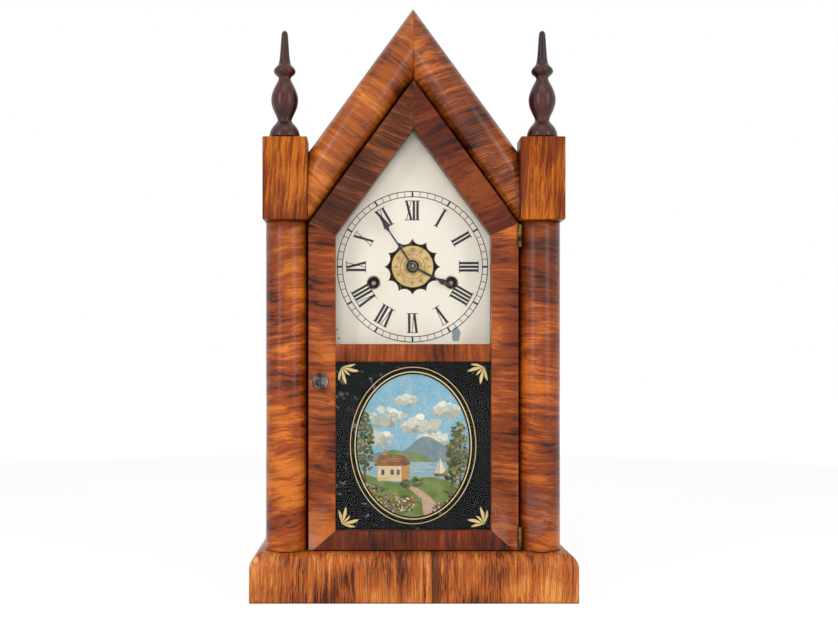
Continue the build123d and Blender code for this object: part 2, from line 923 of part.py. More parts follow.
def add_wheel(spot, teeth, module, gap_bearing, front, thickness, windows=0):
    # a toothed wheel, with round windows between its arms
    add_board(tooth_points(spot, teeth, module, gap_bearing), front, front + thickness)
    for n in range(windows):
        middle = polar(spot, module * teeth * 0.29, gap_bearing + 360 * n / windows)
        add_round(*middle, module * teeth * 0.125, front, front + thickness, Mode.SUBTRACT)


def add_lantern(spot, pins, module, pin_bearing, front, thickness):
    # a lantern pinion: pins between two round shrouds, centred on the wheel that drives it
    pin_radius = 0.18 * math.pi * module
    shroud_radius = module * pins / 2 + pin_radius + 0.4
    back_shroud = front + thickness + shroud_gap
    front_shroud = front - shroud_gap - shroud_thickness
    add_round(*spot, shroud_radius, front_shroud, front_shroud + shroud_thickness)
    add_round(*spot, shroud_radius, back_shroud, back_shroud + shroud_thickness)
    for n in range(pins):
        pin_spot = polar(spot, module * pins / 2, pin_bearing + 360 * n / pins)
        add_round(*pin_spot, pin_radius, front_shroud, back_shroud)


def add_driven_lantern(spot, wheel_spot, front):
    # a train lantern that the wheel at wheel_spot drives
    add_lantern(spot, train_pins, train_module, bearing(spot, wheel_spot), front, wheel_thickness)


def add_train_wheel(spot, lantern_spot, front):
    # a train wheel that drives the lantern at lantern_spot
    add_wheel(
        spot, train_teeth, train_module, bearing(spot, lantern_spot), front, wheel_thickness, train_windows
    )


def add_great_lantern(spot, wheel_spot):
    # the lantern that a great wheel drives
    add_lantern(spot, second_pins, great_module, bearing(spot, wheel_spot), great_front, great_thickness)


def add_spiral(spot, inner_radius, growth, last_radius, half_turns, thickness, front, back, side):
    # a flat spiral strip of half circles, which crosses the upright line through its centre once a half
    # turn: the last crossing is below the centre, and the last half circle passes on this side
    reaches = [inner_radius + growth * n for n in range(half_turns)] + [last_radius]
    signs = [-((-1) ** (half_turns - n)) for n in range(half_turns + 1)]

    def crossing(n, edge):
        return (spot[0], spot[1] + signs[n] * (reaches[n] + edge * thickness / 2))

    with BuildSketch(at_depth(back)) as face:
        with BuildLine():
            for edge in (-1, 1):
                for n in range(half_turns):
                    start, end = crossing(n, edge), crossing(n + 1, edge)
                    bulge = side * (-1) ** (half_turns - 1 - n) * abs(start[1] - end[1]) / 2
                    ThreePointArc(start, (spot[0] + bulge, (start[1] + end[1]) / 2), end)
            for n in (0, half_turns):
                Line(crossing(n, -1), crossing(n, 1))
        make_face()
    add_face(face.sketch, front, back)
    least_gap = min(outer - inner for inner, outer in zip(reaches, reaches[2:])) - thickness
    print("least gap between the turns of a spiral:", round(least_gap, 2), "mm")


plate_holes = {
    "both": [
        (time_second_spot, train_arbor_radius),
        (time_third_spot, train_arbor_radius),
        (strike_second_spot, train_arbor_radius),
        (fly_spot, train_arbor_radius),
        (hammer_spot, train_arbor_radius),
        (escape_spot, train_arbor_radius),
        (time_great_spot, winding_arbor_radius),
        (strike_great_spot, winding_arbor_radius),
    ],
    "front": [(centre_spot, pipe_radius)],
    "back": [(centre_spot, minute_arbor_radius)],
}
plate_outline = [
    (-plate_half_width, plate_bottom),
    (plate_half_width, plate_bottom),
    (plate_half_width, plate_top),
    (-plate_half_width, plate_top),
]

# the front plate carries the suspension post, the verge pin and the motion wheel's stud
verge_pin_radius = 0.8
post_half_width = 2.5
post_front = movement_front - 11.5
ear_back = movement_front - 6.8
ear_bottom = suspension_height - 0.5
arm_bottom = suspension_height + 3.5
slot_half_width = 0.5
with BuildPart() as front_plate:
    add_board(plate_outline, movement_front, front_plate_back)
    for spot, radius in plate_holes["both"] + plate_holes["front"]:
        add_round(*spot, radius + running_fit, movement_front, front_plate_back, Mode.SUBTRACT)
    for spot in pillar_spots:
        add_round(*spot, pillar_end_radius, movement_front, front_plate_back, Mode.SUBTRACT)
    add_round(suspension_x, suspension_height, verge_pin_radius, movement_front - 6.2, movement_front)
    add_round(*motion_spot, verge_pin_radius, front_plate_back, centre_front - 0.4)
    post_x = (suspension_x - post_half_width, suspension_x + post_half_width)
    add_block(post_x, (post_front, movement_front), (arm_bottom, arm_bottom + 4.5))
    add_block(post_x, (post_front, ear_back), (ear_bottom, arm_bottom))
    add_block(
        (suspension_x - slot_half_width, suspension_x + slot_half_width),
        (post_front, ear_back),
        (ear_bottom, arm_bottom),
        Mode.SUBTRACT,
    )
save(front_plate, "front_plate")

with BuildPart() as back_plate:
    add_board(plate_outline, back_plate_front, back_plate_back)
    for spot, radius in plate_holes["both"] + plate_holes["back"]:
        add_round(*spot, radius + running_fit, back_plate_front, back_plate_back, Mode.SUBTRACT)
    for x, z in movement_screw_spots:
        add_round(x, z, movement_screw_radius, back_plate_front, back_plate_back, Mode.SUBTRACT)
save(back_plate, "back_plate")

nut_thickness = 2.0
with BuildPart() as plate_pillars:
    for spot in pillar_spots:
        add_round(*spot, pillar_radius, front_plate_back, back_plate_front)
        add_round(*spot, pillar_end_radius, movement_front, front_plate_back)
        with BuildSketch(at_depth(movement_front)) as nut:
            with Locations(spot):
                RegularPolygon(pillar_radius, 6)
        add_face(nut.sketch, movement_front - nut_thickness, movement_front)
save(plate_pillars, "plate_pillars")

# wooden rails that carry the back plate off the backboard
rail_half_height = 6.0
with BuildPart() as movement_rails:
    for height in (plate_bottom + 4, plate_top - 4):
        add_block(
            (-plate_half_width - 8, plate_half_width + 8),
            (back_plate_back, backboard_front),
            (height - rail_half_height, height + rail_half_height),
        )
    for x, z in movement_screw_spots:
        add_round(x, z, movement_screw_radius, back_plate_back, backboard_front, Mode.SUBTRACT)
save(movement_rails, "movement_rails")

# mainsprings, each hooked round the pillar below it
with BuildPart() as mainsprings:
    for side, spot in ((1, time_great_spot), (-1, strike_great_spot)):
        add_spiral(
            spot,
            spring_inner_radius,
            spring_growth,
            pillar_drop + pillar_radius + spring_thickness / 2 + running_fit,
            spring_half_turns,
            spring_thickness,
            spring_front,
            spring_front + spring_width,
            side,
        )
save(mainsprings, "mainsprings")

# winding arbors: a key square in front and a ratchet beside the great wheel
ratchet_teeth = 14
ratchet_radius = 7.0
ratchet_front = great_front - 1.9
ratchet_thickness = 1.1
square_front = dial_front + 4.6
square_back = movement_front - 4
for spot, train in ((time_great_spot, "time"), (strike_great_spot, "strike")):
    with BuildPart() as winding_arbor:
        add_round(*spot, winding_arbor_radius, square_back, arbor_end)
        with BuildSketch(at_depth(square_back)) as square:
            with Locations(spot):
                Rectangle(1.4 * winding_arbor_radius, 1.4 * winding_arbor_radius)
        add_face(square.sketch, square_front, square_back)
        points = []
        for n in range(ratchet_teeth):
            points += [
                polar(spot, ratchet_radius, 360 * n / ratchet_teeth),
                polar(spot, ratchet_radius - 1.2, 360 * (n + 0.1) / ratchet_teeth),
            ]
        add_board(points, ratchet_front, ratchet_front + ratchet_thickness)
    save(winding_arbor, f"{train}_winding_arbor")


def add_great_wheel(spot, driven):
    # a great wheel that turns on its winding arbor, with its click
    add_wheel(spot, great_teeth, great_module, bearing(spot, driven), great_front, great_thickness, 5)
    add_round(*spot, 5.0, great_front, great_front + great_thickness + 0.8)
    click_middle = polar(spot, ratchet_radius + 2.6, bearing(spot, driven) + 36)
    add_round(*click_middle, 2.3, ratchet_front, great_front)
    add_round(*spot, winding_arbor_radius + running_fit, ratchet_front, back_plate_front, Mode.SUBTRACT)


with BuildPart() as time_great_wheel:
    add_great_wheel(time_great_spot, time_second_spot)
save(time_great_wheel, "time_great_wheel")

# the strike side's great wheel carries the count wheel, whose notches are one, two, three and so on apart
count_radius = 18.0
count_notch_depth = 2.5
strikes = sum(range(1, 13))
with BuildPart() as strike_great_wheel:
    add_great_wheel(strike_great_spot, strike_second_spot)
    count_front = great_front + great_thickness + 0.8
    add_round(*strike_great_spot, count_radius, count_front, count_front + 0.8)
    struck = 0
    for hour in range(1, 13):
        struck += hour
        notch = polar(strike_great_spot, count_radius, 360 * struck / strikes)
        add_round(*notch, count_notch_depth / 2, count_front, count_front + 0.8, Mode.SUBTRACT)
    add_round(
        *strike_great_spot, winding_arbor_radius + running_fit, count_front, count_front + 0.8, Mode.SUBTRACT
    )
save(strike_great_wheel, "strike_great_wheel")

# second wheels; the time side's also drives the centre wheel
with BuildPart() as time_second_wheel:
    add_round(*time_second_spot, train_arbor_radius, arbor_start, arbor_end)
    add_great_lantern(time_second_spot, time_great_spot)
    add_train_wheel(time_second_spot, time_third_spot, second_front)
    add_wheel(
        time_second_spot,
        centre_drive_teeth,
        centre_module,
        bearing(time_second_spot, centre_spot) + 180 / centre_drive_teeth,
        centre_front,
        wheel_thickness,
    )
save(time_second_wheel, "time_second_wheel")

with BuildPart() as strike_second_wheel:
    add_round(*strike_second_spot, train_arbor_radius, arbor_start, arbor_end)
    add_great_lantern(strike_second_spot, strike_great_spot)
    add_train_wheel(strike_second_spot, fly_spot, second_front)
save(strike_second_wheel, "strike_second_wheel")

with BuildPart() as time_third_wheel:
    add_round(*time_third_spot, train_arbor_radius, arbor_start, arbor_end)
    add_driven_lantern(time_third_spot, time_second_spot, second_front)
    add_train_wheel(time_third_spot, escape_spot, third_front)
save(time_third_wheel, "time_third_wheel")

# the escape wheel stands in front of the front plate, on an arbor that runs back to its pinion
with BuildPart() as escape_wheel:
    add_round(*escape_spot, train_arbor_radius, escape_front - 0.5, arbor_end)
    add_driven_lantern(escape_spot, time_third_spot, third_front)
    points = []
    for n in range(escape_teeth):
        points += [
            polar(escape_spot, escape_radius, 360 * n / escape_teeth),
            polar(escape_spot, escape_radius - escape_tooth_depth, 360 * (n + 0.25) / escape_teeth),
        ]
    add_board(points, escape_front, escape_front + wheel_thickness)
    for n in range(4):
        window = polar(escape_spot, escape_window_spread, 90 * n + 45)
        add_round(*window, escape_window_radius, escape_front, escape_front + wheel_thickness, Mode.SUBTRACT)
save(escape_wheel, "escape_wheel")

# the strike side's fly, whose blades brake the train with air
fly_radius = 10.0
fly_width = 18.0
fly_front = third_front - 4
fly_half_thickness = 0.3
with BuildPart() as strike_fly:
    add_round(*fly_spot, train_arbor_radius, arbor_start, arbor_end)
    add_driven_lantern(fly_spot, strike_second_spot, second_front)
    add_block(
        (fly_spot[0] - fly_radius, fly_spot[0] + fly_radius),
        (fly_front, fly_front + fly_width),
        (fly_spot[1] - fly_half_thickness, fly_spot[1] + fly_half_thickness),
    )
save(strike_fly, "strike_fly")

# centre work: minute arbor, the wheel that drives it by friction, motion wheel, hour pipe
pipe_front = dial_front - 4.4
arbor_front = pipe_front - 3.4
with BuildPart() as minute_arbor:
    add_round(*centre_spot, minute_arbor_radius, arbor_front, arbor_end)
    add_wheel(
        centre_spot,
        cannon_teeth,
        motion_module,
        bearing(centre_spot, motion_spot) + 180 / cannon_teeth,
        motion_front,
        wheel_thickness,
    )
save(minute_arbor, "minute_arbor")

with BuildPart() as centre_wheel:
    add_wheel(
        centre_spot,
        centre_wheel_teeth,
        centre_module,
        bearing(centre_spot, time_second_spot),
        centre_front,
        wheel_thickness,
        4,
    )
    hub_depths = (centre_front, centre_front + centre_hub_length)
    add_round(*centre_spot, centre_hub_radius, *hub_depths)
    add_round(*centre_spot, minute_arbor_radius + running_fit, *hub_depths, Mode.SUBTRACT)
save(centre_wheel, "centre_wheel")

with BuildPart() as motion_wheel:
    add_wheel(
        motion_spot,
        motion_pinion_teeth,
        hour_module,
        bearing(motion_spot, centre_spot) + 180 / motion_pinion_teeth,
        hour_front - 0.3,
        wheel_thickness + 2.5,
    )
    add_wheel(
        motion_spot,
        motion_wheel_teeth,
        motion_module,
        bearing(motion_spot, centre_spot),
        motion_front,
        wheel_thickness,
    )
    motion_depths = (front_plate_back, motion_front + wheel_thickness)
    add_round(*motion_spot, verge_pin_radius + running_fit, *motion_depths, Mode.SUBTRACT)
save(motion_wheel, "motion_wheel")

with BuildPart() as hour_pipe_wheel:
    add_wheel(
        centre_spot,
        hour_wheel_teeth,
        hour_module,
        bearing(centre_spot, motion_spot),
        hour_front,
        wheel_thickness,
    )
    pipe_depths = (pipe_front, hour_front + wheel_thickness)
    add_round(*centre_spot, pipe_radius, *pipe_depths)
    add_round(*centre_spot, minute_arbor_radius + running_fit, *pipe_depths, Mode.SUBTRACT)
save(hour_pipe_wheel, "hour_pipe_wheel")

# alarm disc, friction-tight on the hour pipe
disc_back = dial_front - 0.8
disc_front = disc_back - alarm_disc_thickness
with BuildPart() as alarm_disc:
    add_round(*centre_spot, alarm_disc_radius, disc_front, disc_back)
    add_round(*centre_spot, pipe_radius + 1.2, disc_front - 1.2, disc_back)
    add_round(*centre_spot, pipe_radius + running_fit, disc_front - 1.2, disc_back, Mode.SUBTRACT)
save(alarm_disc, "alarm_disc")


# hands
def on_hand(along, across, angle):
    # a point of a hand that stands at this angle clockwise from twelve
    turn = math.radians(angle)
    return (
        along * math.sin(turn) + across * math.cos(turn),
        dial_height + along * math.cos(turn) - across * math.sin(turn),
    )


def add_hand(angle, length, root, widths, front):
    # a hand with a lozenge near its tip: widths are half-widths at its root, before the lozenge and across it
    root_half, neck_half, lozenge_half = widths
    lozenge = 0.7 * length
    right = [(root, root_half), (lozenge - 5, neck_half), (lozenge, lozenge_half), (lozenge + 6, neck_half)]
    left = [(along, -across) for along, across in reversed(right)]
    outline = [on_hand(along, across, angle) for along, across in right + [(length, 0)] + left]
    add_board(outline, front, front + hand_thickness)


hour_hand_front = pipe_front + 0.4
minute_hand_front = arbor_front + 1.0
with BuildPart() as hour_hand:
    hour_hand_depths = (hour_hand_front, hour_hand_front + hand_thickness)
    add_round(*centre_spot, pipe_radius + hour_hub_width, *hour_hand_depths)
    add_hand(hour_hand_angle, hour_hand_length, pipe_radius + 1, hour_hand_half_widths, hour_hand_front)
    add_round(*centre_spot, pipe_radius, *hour_hand_depths, Mode.SUBTRACT)
save(hour_hand, "hour_hand")

with BuildPart() as minute_hand:
    minute_hand_depths = (minute_hand_front, minute_hand_front + hand_thickness)
    add_round(*centre_spot, minute_arbor_radius + minute_hub_width, *minute_hand_depths)
    add_hand(
        minute_hand_angle, minute_hand_length, minute_arbor_radius, minute_hand_half_widths, minute_hand_front
    )
    add_round(*centre_spot, minute_arbor_radius, *minute_hand_depths, Mode.SUBTRACT)
save(minute_hand, "minute_hand")

# verge with its pallets, and the crutch whose loop goes round the pendulum rod
pallet_reach, pallet_drop = 10.2, 7.1
verge_front = escape_front - 0.6
verge_back = escape_front + wheel_thickness + 0.6
verge_hub_radius = 1.8
hub_end = movement_front - 6.0
crutch_y = movement_front - 5.4
crutch_radius = 0.6
crutch_drop = 27.0
loop_bar = 1.0
rod_y = movement_front - 9.1
loop_front = rod_y - rod_radius - 1.3
loop_half_width = rod_radius + loop_bar / 2 + 0.2
verge_side = [
    (1.5, -0.9),
    (9.2, -0.9),
    (pallet_reach, -pallet_drop),
    (pallet_reach + 1.2, -pallet_drop),
    (10.4, 0.9),
]
loop_height = suspension_height - crutch_drop
with BuildPart() as verge_and_crutch:
    add_round(suspension_x, suspension_height, verge_hub_radius, hub_end, verge_back)
    add_board(
        [
            (suspension_x + x, suspension_height + z)
            for x, z in verge_side + [(-x, z) for x, z in reversed(verge_side)]
        ],
        verge_front,
        verge_back,
    )
    add_wire((suspension_x, suspension_height - 1), (suspension_x, loop_height), crutch_y, crutch_radius)
    for grow, mode in ((loop_bar / 2, Mode.ADD), (-loop_bar / 2, Mode.SUBTRACT)):
        add_block(
            (suspension_x - loop_half_width - grow, suspension_x + loop_half_width + grow),
            (loop_front - grow, crutch_y + grow),
            (loop_height - loop_bar / 2, loop_height + loop_bar / 2),
            mode,
        )
    bore_radius = verge_pin_radius + running_fit
    add_round(suspension_x, suspension_height, bore_radius, hub_end, verge_back, Mode.SUBTRACT)
save(verge_and_crutch, "verge_and_crutch")

# pendulum: a flat suspension strip, the rod and its rating nut, and the bob
bob_height = suspension_height - pendulum_length
strip_half_width = 1.5
strip_half_thickness = 0.15
nut_top = bob_height - bob_radius - 0.2
with BuildPart() as pendulum_rod:
    add_block(
        (suspension_x - strip_half_thickness, suspension_x + strip_half_thickness),
        (rod_y - strip_half_width, rod_y + strip_half_width),
        (suspension_height - 6, suspension_height + 2.8),
    )
    add_upright(suspension_x, rod_y, rod_radius, nut_top - 5, suspension_height - 5)
    add_upright(suspension_x, rod_y, 3.0, nut_top - 2.6, nut_top)
save(pendulum_rod, "pendulum_rod")

with BuildPart() as pendulum_bob:
    with BuildSketch(Plane(origin=(suspension_x, rod_y, bob_height))):
        with BuildLine():
            half = bob_thickness / 2
            ThreePointArc((0, -half), (0.6 * bob_radius, -0.68 * half), (bob_radius, 0))
            ThreePointArc((bob_radius, 0), (0.6 * bob_radius, 0.68 * half), (0, half))
            Line((0, half), (0, -half))
        make_face()
    revolve(axis=Axis((suspension_x, rod_y, bob_height), (0, 1, 0)))
    add_upright(
        suspension_x, rod_y, rod_radius, bob_height - bob_radius, bob_height + bob_radius, Mode.SUBTRACT
    )
save(pendulum_bob, "pendulum_bob")

# gong: a flat wire spiral held in the post of its iron base
gong_back = gong_front + gong_wire_depth
gong_outer_radius = gong_inner_radius + gong_growth * gong_half_turns
with BuildPart() as gong_coil:
    add_spiral(
        (gong_x, gong_height),
        gong_inner_radius,
        gong_growth,
        gong_outer_radius,
        gong_half_turns,
        gong_wire_width,
        gong_front,
        gong_back,
        1,
    )
save(gong_coil, "gong_coil")

gong_start_height = gong_height - gong_inner_radius
with BuildPart() as gong_base:
    add_round(gong_x, gong_height, gong_foot_radius, backboard_front - foot_thickness, backboard_front)
    add_block(
        (gong_x - gong_post_half_width, gong_x + gong_post_half_width),
        (gong_front - 2, backboard_front - foot_thickness),
        (gong_start_height - gong_post_half_width, gong_start_height + gong_post_half_width),
    )
    add(gong_coil.part, mode=Mode.SUBTRACT)
save(gong_base, "gong_base")

# the strike hammer hangs from its arbor beside the gong
gong_edge = gong_outer_radius + gong_wire_width / 2
hammer_y = gong_front + gong_wire_depth / 2
strike_head = (gong_x - gong_edge - hammer_gap - hammer_radius, gong_height)
strike_arm_bearing = bearing(hammer_spot, strike_head)
with BuildPart() as strike_hammer:
    add_round(*hammer_spot, train_arbor_radius, arbor_start, arbor_end)
    add_round(*hammer_spot, train_arbor_radius + 1.1, hammer_y - 1.2, hammer_y + 1.2)
    add_wire(hammer_spot, strike_head, hammer_y, arm_radius)
    add_wire(
        polar(strike_head, hammer_half_length, strike_arm_bearing),
        polar(strike_head, -hammer_half_length, strike_arm_bearing),
        hammer_y,
        hammer_radius,
    )
save(strike_hammer, "strike_hammer")

# the alarm's bracket stands on the backboard and its hammer hangs on the bracket's stud
alarm_head = (gong_x + gong_edge + hammer_gap + alarm_hammer_radius, gong_height + alarm_head_lift)
alarm_spot = (alarm_head[0], alarm_head[1] + alarm_arm_length)
hub_front, hub_back = hammer_y - hub_half_length, hammer_y + hub_half_length
with BuildPart() as alarm_bracket:
    add_block(
        (alarm_spot[0] - bracket_half_width, alarm_spot[0] + bracket_half_width),
        (backboard_front - foot_thickness, backboard_front),
        (alarm_spot[1] - bracket_half_height, alarm_spot[1] + bracket_half_height),
    )
    stud_front = hub_front - hub_clearance - stud_cap_thickness
    add_round(*alarm_spot, stud_radius, stud_front, backboard_front - foot_thickness)
    add_round(*alarm_spot, stud_radius + stud_cap_width, stud_front, hub_front - hub_clearance)
    add_round(
        *alarm_spot, stud_radius + hub_wall, hub_back + hub_clearance, backboard_front - foot_thickness
    )
save(alarm_bracket, "alarm_bracket")

with BuildPart() as alarm_hammer:
    add_round(*alarm_spot, stud_radius + hub_wall, hub_front, hub_back)
    add_wire(alarm_spot, alarm_head, hammer_y, arm_radius)
    add_wire(
        (alarm_head[0], alarm_head[1] + hammer_half_length),
        (alarm_head[0], alarm_head[1] - hammer_half_length),
        hammer_y,
        alarm_hammer_radius,
    )
    add_round(*alarm_spot, stud_radius + running_fit, hub_front, hub_back, Mode.SUBTRACT)
save(alarm_hammer, "alarm_hammer")

print("time train ratios per escape wheel turn:", train_pins / train_teeth, (train_pins / train_teeth) ** 2)
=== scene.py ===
import json
import math
import random

import bmesh
import bpy
from mathutils import Matrix, Vector


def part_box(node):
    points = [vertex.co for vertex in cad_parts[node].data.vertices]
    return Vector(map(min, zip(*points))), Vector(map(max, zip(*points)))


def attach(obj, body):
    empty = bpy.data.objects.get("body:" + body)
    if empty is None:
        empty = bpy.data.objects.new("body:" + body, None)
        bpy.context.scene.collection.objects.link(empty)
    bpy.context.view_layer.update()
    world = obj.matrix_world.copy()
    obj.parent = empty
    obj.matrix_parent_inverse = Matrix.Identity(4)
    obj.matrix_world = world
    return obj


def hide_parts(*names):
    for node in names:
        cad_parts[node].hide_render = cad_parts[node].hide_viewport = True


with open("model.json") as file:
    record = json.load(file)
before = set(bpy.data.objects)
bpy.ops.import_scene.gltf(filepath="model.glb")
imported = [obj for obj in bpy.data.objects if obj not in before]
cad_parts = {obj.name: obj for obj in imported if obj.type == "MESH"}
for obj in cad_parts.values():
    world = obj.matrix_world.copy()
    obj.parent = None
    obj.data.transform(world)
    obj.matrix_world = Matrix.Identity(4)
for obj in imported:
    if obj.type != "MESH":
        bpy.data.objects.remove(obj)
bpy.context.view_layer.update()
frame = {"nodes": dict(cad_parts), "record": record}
nodes = frame["nodes"]
bodyOfNode = {node: body for body, group in frame["record"]["behaviour"]["bodies"].items() for node in group}
mm = 0.001
print("frame loaded,", len(nodes), "nodes")


# nodes of a material

def paint(red, green, blue):
    # a screen colour, 0 to 255, as the linear colour that a shader reads
    linear = []
    for part in (red, green, blue):
        part /= 255
        linear.append(part / 12.92 if part <= 0.04045 else ((part + 0.055) / 1.055) ** 2.4)
    return (*linear, 1.0)


def give(tree, socket, value):
    if isinstance(value, bpy.types.NodeSocket):
        tree.links.new(value, socket)
    else:
        socket.default_value = value


def addNode(tree, kind, inputs=None, **options):
    made = tree.nodes.new(kind)
    for name, value in options.items():
        setattr(made, name, value)
    for name, value in (inputs or {}).items():
        give(tree, made.inputs[name], value)
    return made


def calc(tree, operation, *values):
    made = addNode(tree, "ShaderNodeMath", operation=operation)
    for index, value in enumerate(values):
        give(tree, made.inputs[index], value)
    return made.outputs[0]


def times(tree, first, second):
    return calc(tree, "MULTIPLY", first, second)


def along(tree, place, axis):
    return addNode(tree, "ShaderNodeSeparateXYZ", {"Vector": place}).outputs[axis]


def vectorCalc(tree, operation, *values):
    made = addNode(tree, "ShaderNodeVectorMath", operation=operation)
    for index, value in enumerate(values):
        give(tree, made.inputs[index], value)
    return made.outputs[1 if operation in ("DISTANCE", "LENGTH") else 0]


def mixColours(tree, amount, first, second, blend="MIX"):
    made = addNode(tree, "ShaderNodeMix", data_type="RGBA", blend_type=blend)
    for index, value in ((0, amount), (6, first), (7, second)):
        give(tree, made.inputs[index], value)
    return made.outputs[2]


def noise(tree, place, scale, detail=2.0, rough=0.5, output="Fac"):
    inputs = {"Vector": place, "Scale": scale, "Detail": detail, "Roughness": rough}
    return addNode(tree, "ShaderNodeTexNoise", inputs).outputs[output]


def between(tree, value, low, high):
    # 0 below low, 1 above high, smooth between, or the other way round where low is the larger
    sockets = {"Value": value, "From Min": low, "From Max": high}
    return addNode(tree, "ShaderNodeMapRange", sockets, interpolation_type="SMOOTHSTEP").outputs[0]


def placeInMm(tree, turn=0.0, offset=(0, 0, 0), depth=1.0):
    # object coordinates in millimetres, turned about Y so that a grain at this angle runs along Z;
    # a small depth lets the lines of a veneer follow it round a curve
    coordinates = addNode(tree, "ShaderNodeTexCoord").outputs["Object"]
    placing = {"Vector": coordinates, "Location": offset, "Rotation": (0, math.radians(turn), 0),
               "Scale": (1 / mm, depth / mm, 1 / mm)}
    return addNode(tree, "ShaderNodeMapping", placing).outputs[0]


def newGroup(name, inputs, outputs):
    tree = bpy.data.node_groups.new(name, "ShaderNodeTree")
    kinds = {"v": "NodeSocketVector", "f": "NodeSocketFloat", "c": "NodeSocketColor"}
    for label, kind in inputs:
        tree.interface.new_socket(name=label, in_out="INPUT", socket_type=kinds[kind])
    for label, kind in outputs:
        tree.interface.new_socket(name=label, in_out="OUTPUT", socket_type=kinds[kind])
    return tree, tree.nodes.new("NodeGroupInput").outputs, tree.nodes.new("NodeGroupOutput").inputs


def useGroup(tree, group, inputs):
    made = tree.nodes.new("ShaderNodeGroup")
    made.node_tree = group
    for name, value in inputs.items():
        give(tree, made.inputs[name], value)
    return made.outputs


def buildVeneer():
    # grain runs along Z of Place, in millimetres
    tree, given, put = newGroup(
        "veneer",
        [("Place", "v"), ("Figure", "f"), ("Streaks", "f"), ("Dark", "c"), ("Mid", "c"), ("Light", "c")],
        [("Colour", "c"), ("Roughness", "f"), ("Height", "f")],
    )
    drift = noise(tree, given["Place"], 0.02, 2, 0.5, "Color")
    push = times(tree, given["Figure"], 26.0)
    pushes = addNode(tree, "ShaderNodeCombineXYZ", {"X": push, "Y": push, "Z": push}).outputs[0]
    warped = vectorCalc(tree, "MULTIPLY_ADD", drift, pushes, given["Place"])
    fibre = vectorCalc(tree, "MULTIPLY", warped, (1.0, 1.0, 0.035))
    bands = noise(tree, fibre, 0.3, 6, 0.75)
    fine = noise(tree, fibre, 0.95, 4, 0.75)
    slow = noise(tree, vectorCalc(tree, "MULTIPLY", warped, (1.0, 1.0, 0.25)), 0.02, 1)
    rings = calc(tree, "PINGPONG", times(tree, slow, 16.0), 1.0)
    patches = noise(tree, given["Place"], 0.016, 2)
    ringWeight = times(tree, given["Figure"], 0.24)
    fineWeight = times(tree, given["Streaks"], 0.85)
    tone = 0.5
    for pattern, weight in ((bands, 1.0), (patches, 0.95), (rings, ringWeight), (fine, fineWeight)):
        tone = calc(tree, "MULTIPLY_ADD", calc(tree, "SUBTRACT", pattern, 0.5), weight, tone)
    lower = mixColours(tree, between(tree, tone, 0.22, 0.47), given["Dark"], given["Mid"])
    colour = mixColours(tree, between(tree, tone, 0.47, 0.7), lower, given["Light"])
    lines = between(tree, noise(tree, fibre, 0.6, 3, 0.7), 0.56, 0.66)
    lineWeight = times(tree, given["Streaks"], 0.6)
    colour = mixColours(tree, times(tree, lines, lineWeight), colour, given["Dark"])
    pores = between(tree, noise(tree, vectorCalc(tree, "MULTIPLY", warped, (1.0, 1.0, 0.11)), 2.6, 2), 0.66, 0.72)
    colour = mixColours(tree, times(tree, pores, 0.6), colour, given["Dark"])
    give(tree, put["Colour"], colour)
    give(tree, put["Roughness"], calc(tree, "MULTIPLY_ADD", fine, 0.3, 0.2))
    give(tree, put["Height"], calc(tree, "SUBTRACT", times(tree, fine, 0.6), pores))
    return tree


def buildDust():
    # pale scuffs and dust that gather low down: Top is the height in millimetres where they fade out
    tree, given, put = newGroup("dust", [("Place", "v"), ("Top", "f"), ("Amount", "f")], [("Mask", "f")])
    height = along(tree, given["Place"], "Z")
    low = between(tree, height, given["Top"], times(tree, given["Top"], 0.45))
    cloudy = between(tree, noise(tree, given["Place"], 0.05, 4, 0.65), 0.4, 0.7)
    specks = between(tree, noise(tree, given["Place"], 1.6, 3, 0.7), 0.66, 0.74)
    both = calc(tree, "MAXIMUM", times(tree, cloudy, low), times(tree, specks, 0.35))
    give(tree, put["Mask"], times(tree, both, given["Amount"]))
    return tree


def buildTarnish():
    # clean metal that darkens in cloudy patches, with fine scratches
    tree, given, put = newGroup(
        "tarnish", [("Place", "v"), ("Clean", "c"), ("Tarnished", "c"), ("Amount", "f")],
        [("Colour", "c"), ("Roughness", "f"), ("Height", "f")])
    cloud = noise(tree, given["Place"], 0.16, 5, 0.65)
    scratch = noise(tree, vectorCalc(tree, "MULTIPLY", given["Place"], (0.15, 1.0, 2.4)), 2.0, 3, 0.7)
    mask = times(tree, between(tree, cloud, 0.3, 0.68), given["Amount"])
    give(tree, put["Colour"], mixColours(tree, mask, given["Clean"], given["Tarnished"]))
    rough = calc(tree, "MULTIPLY_ADD", scratch, 0.2, 0.2)
    give(tree, put["Roughness"], calc(tree, "MULTIPLY_ADD", mask, 0.3, rough))
    give(tree, put["Height"], scratch)
    return tree


def buildSpot():
    # 1 inside a ragged spot round Centre, in millimetres, 0 outside
    tree, given, put = newGroup(
        "spot", [("Place", "v"), ("Centre", "v"), ("Radii", "v"), ("Ragged", "f")], [("Mask", "f")])
    away = vectorCalc(tree, "SUBTRACT", given["Place"], given["Centre"])
    reach = vectorCalc(tree, "LENGTH", vectorCalc(tree, "DIVIDE", away, given["Radii"]))
    tearing = times(tree, given["Ragged"], 2.0)
    torn = calc(tree, "MULTIPLY_ADD", noise(tree, given["Place"], 0.7, 4, 0.7), tearing, reach)
    edge = calc(tree, "ADD", given["Ragged"], 1.0)
    give(tree, put["Mask"], between(tree, torn, calc(tree, "ADD", edge, 0.1), calc(tree, "SUBTRACT", edge, 0.1)))
    return tree


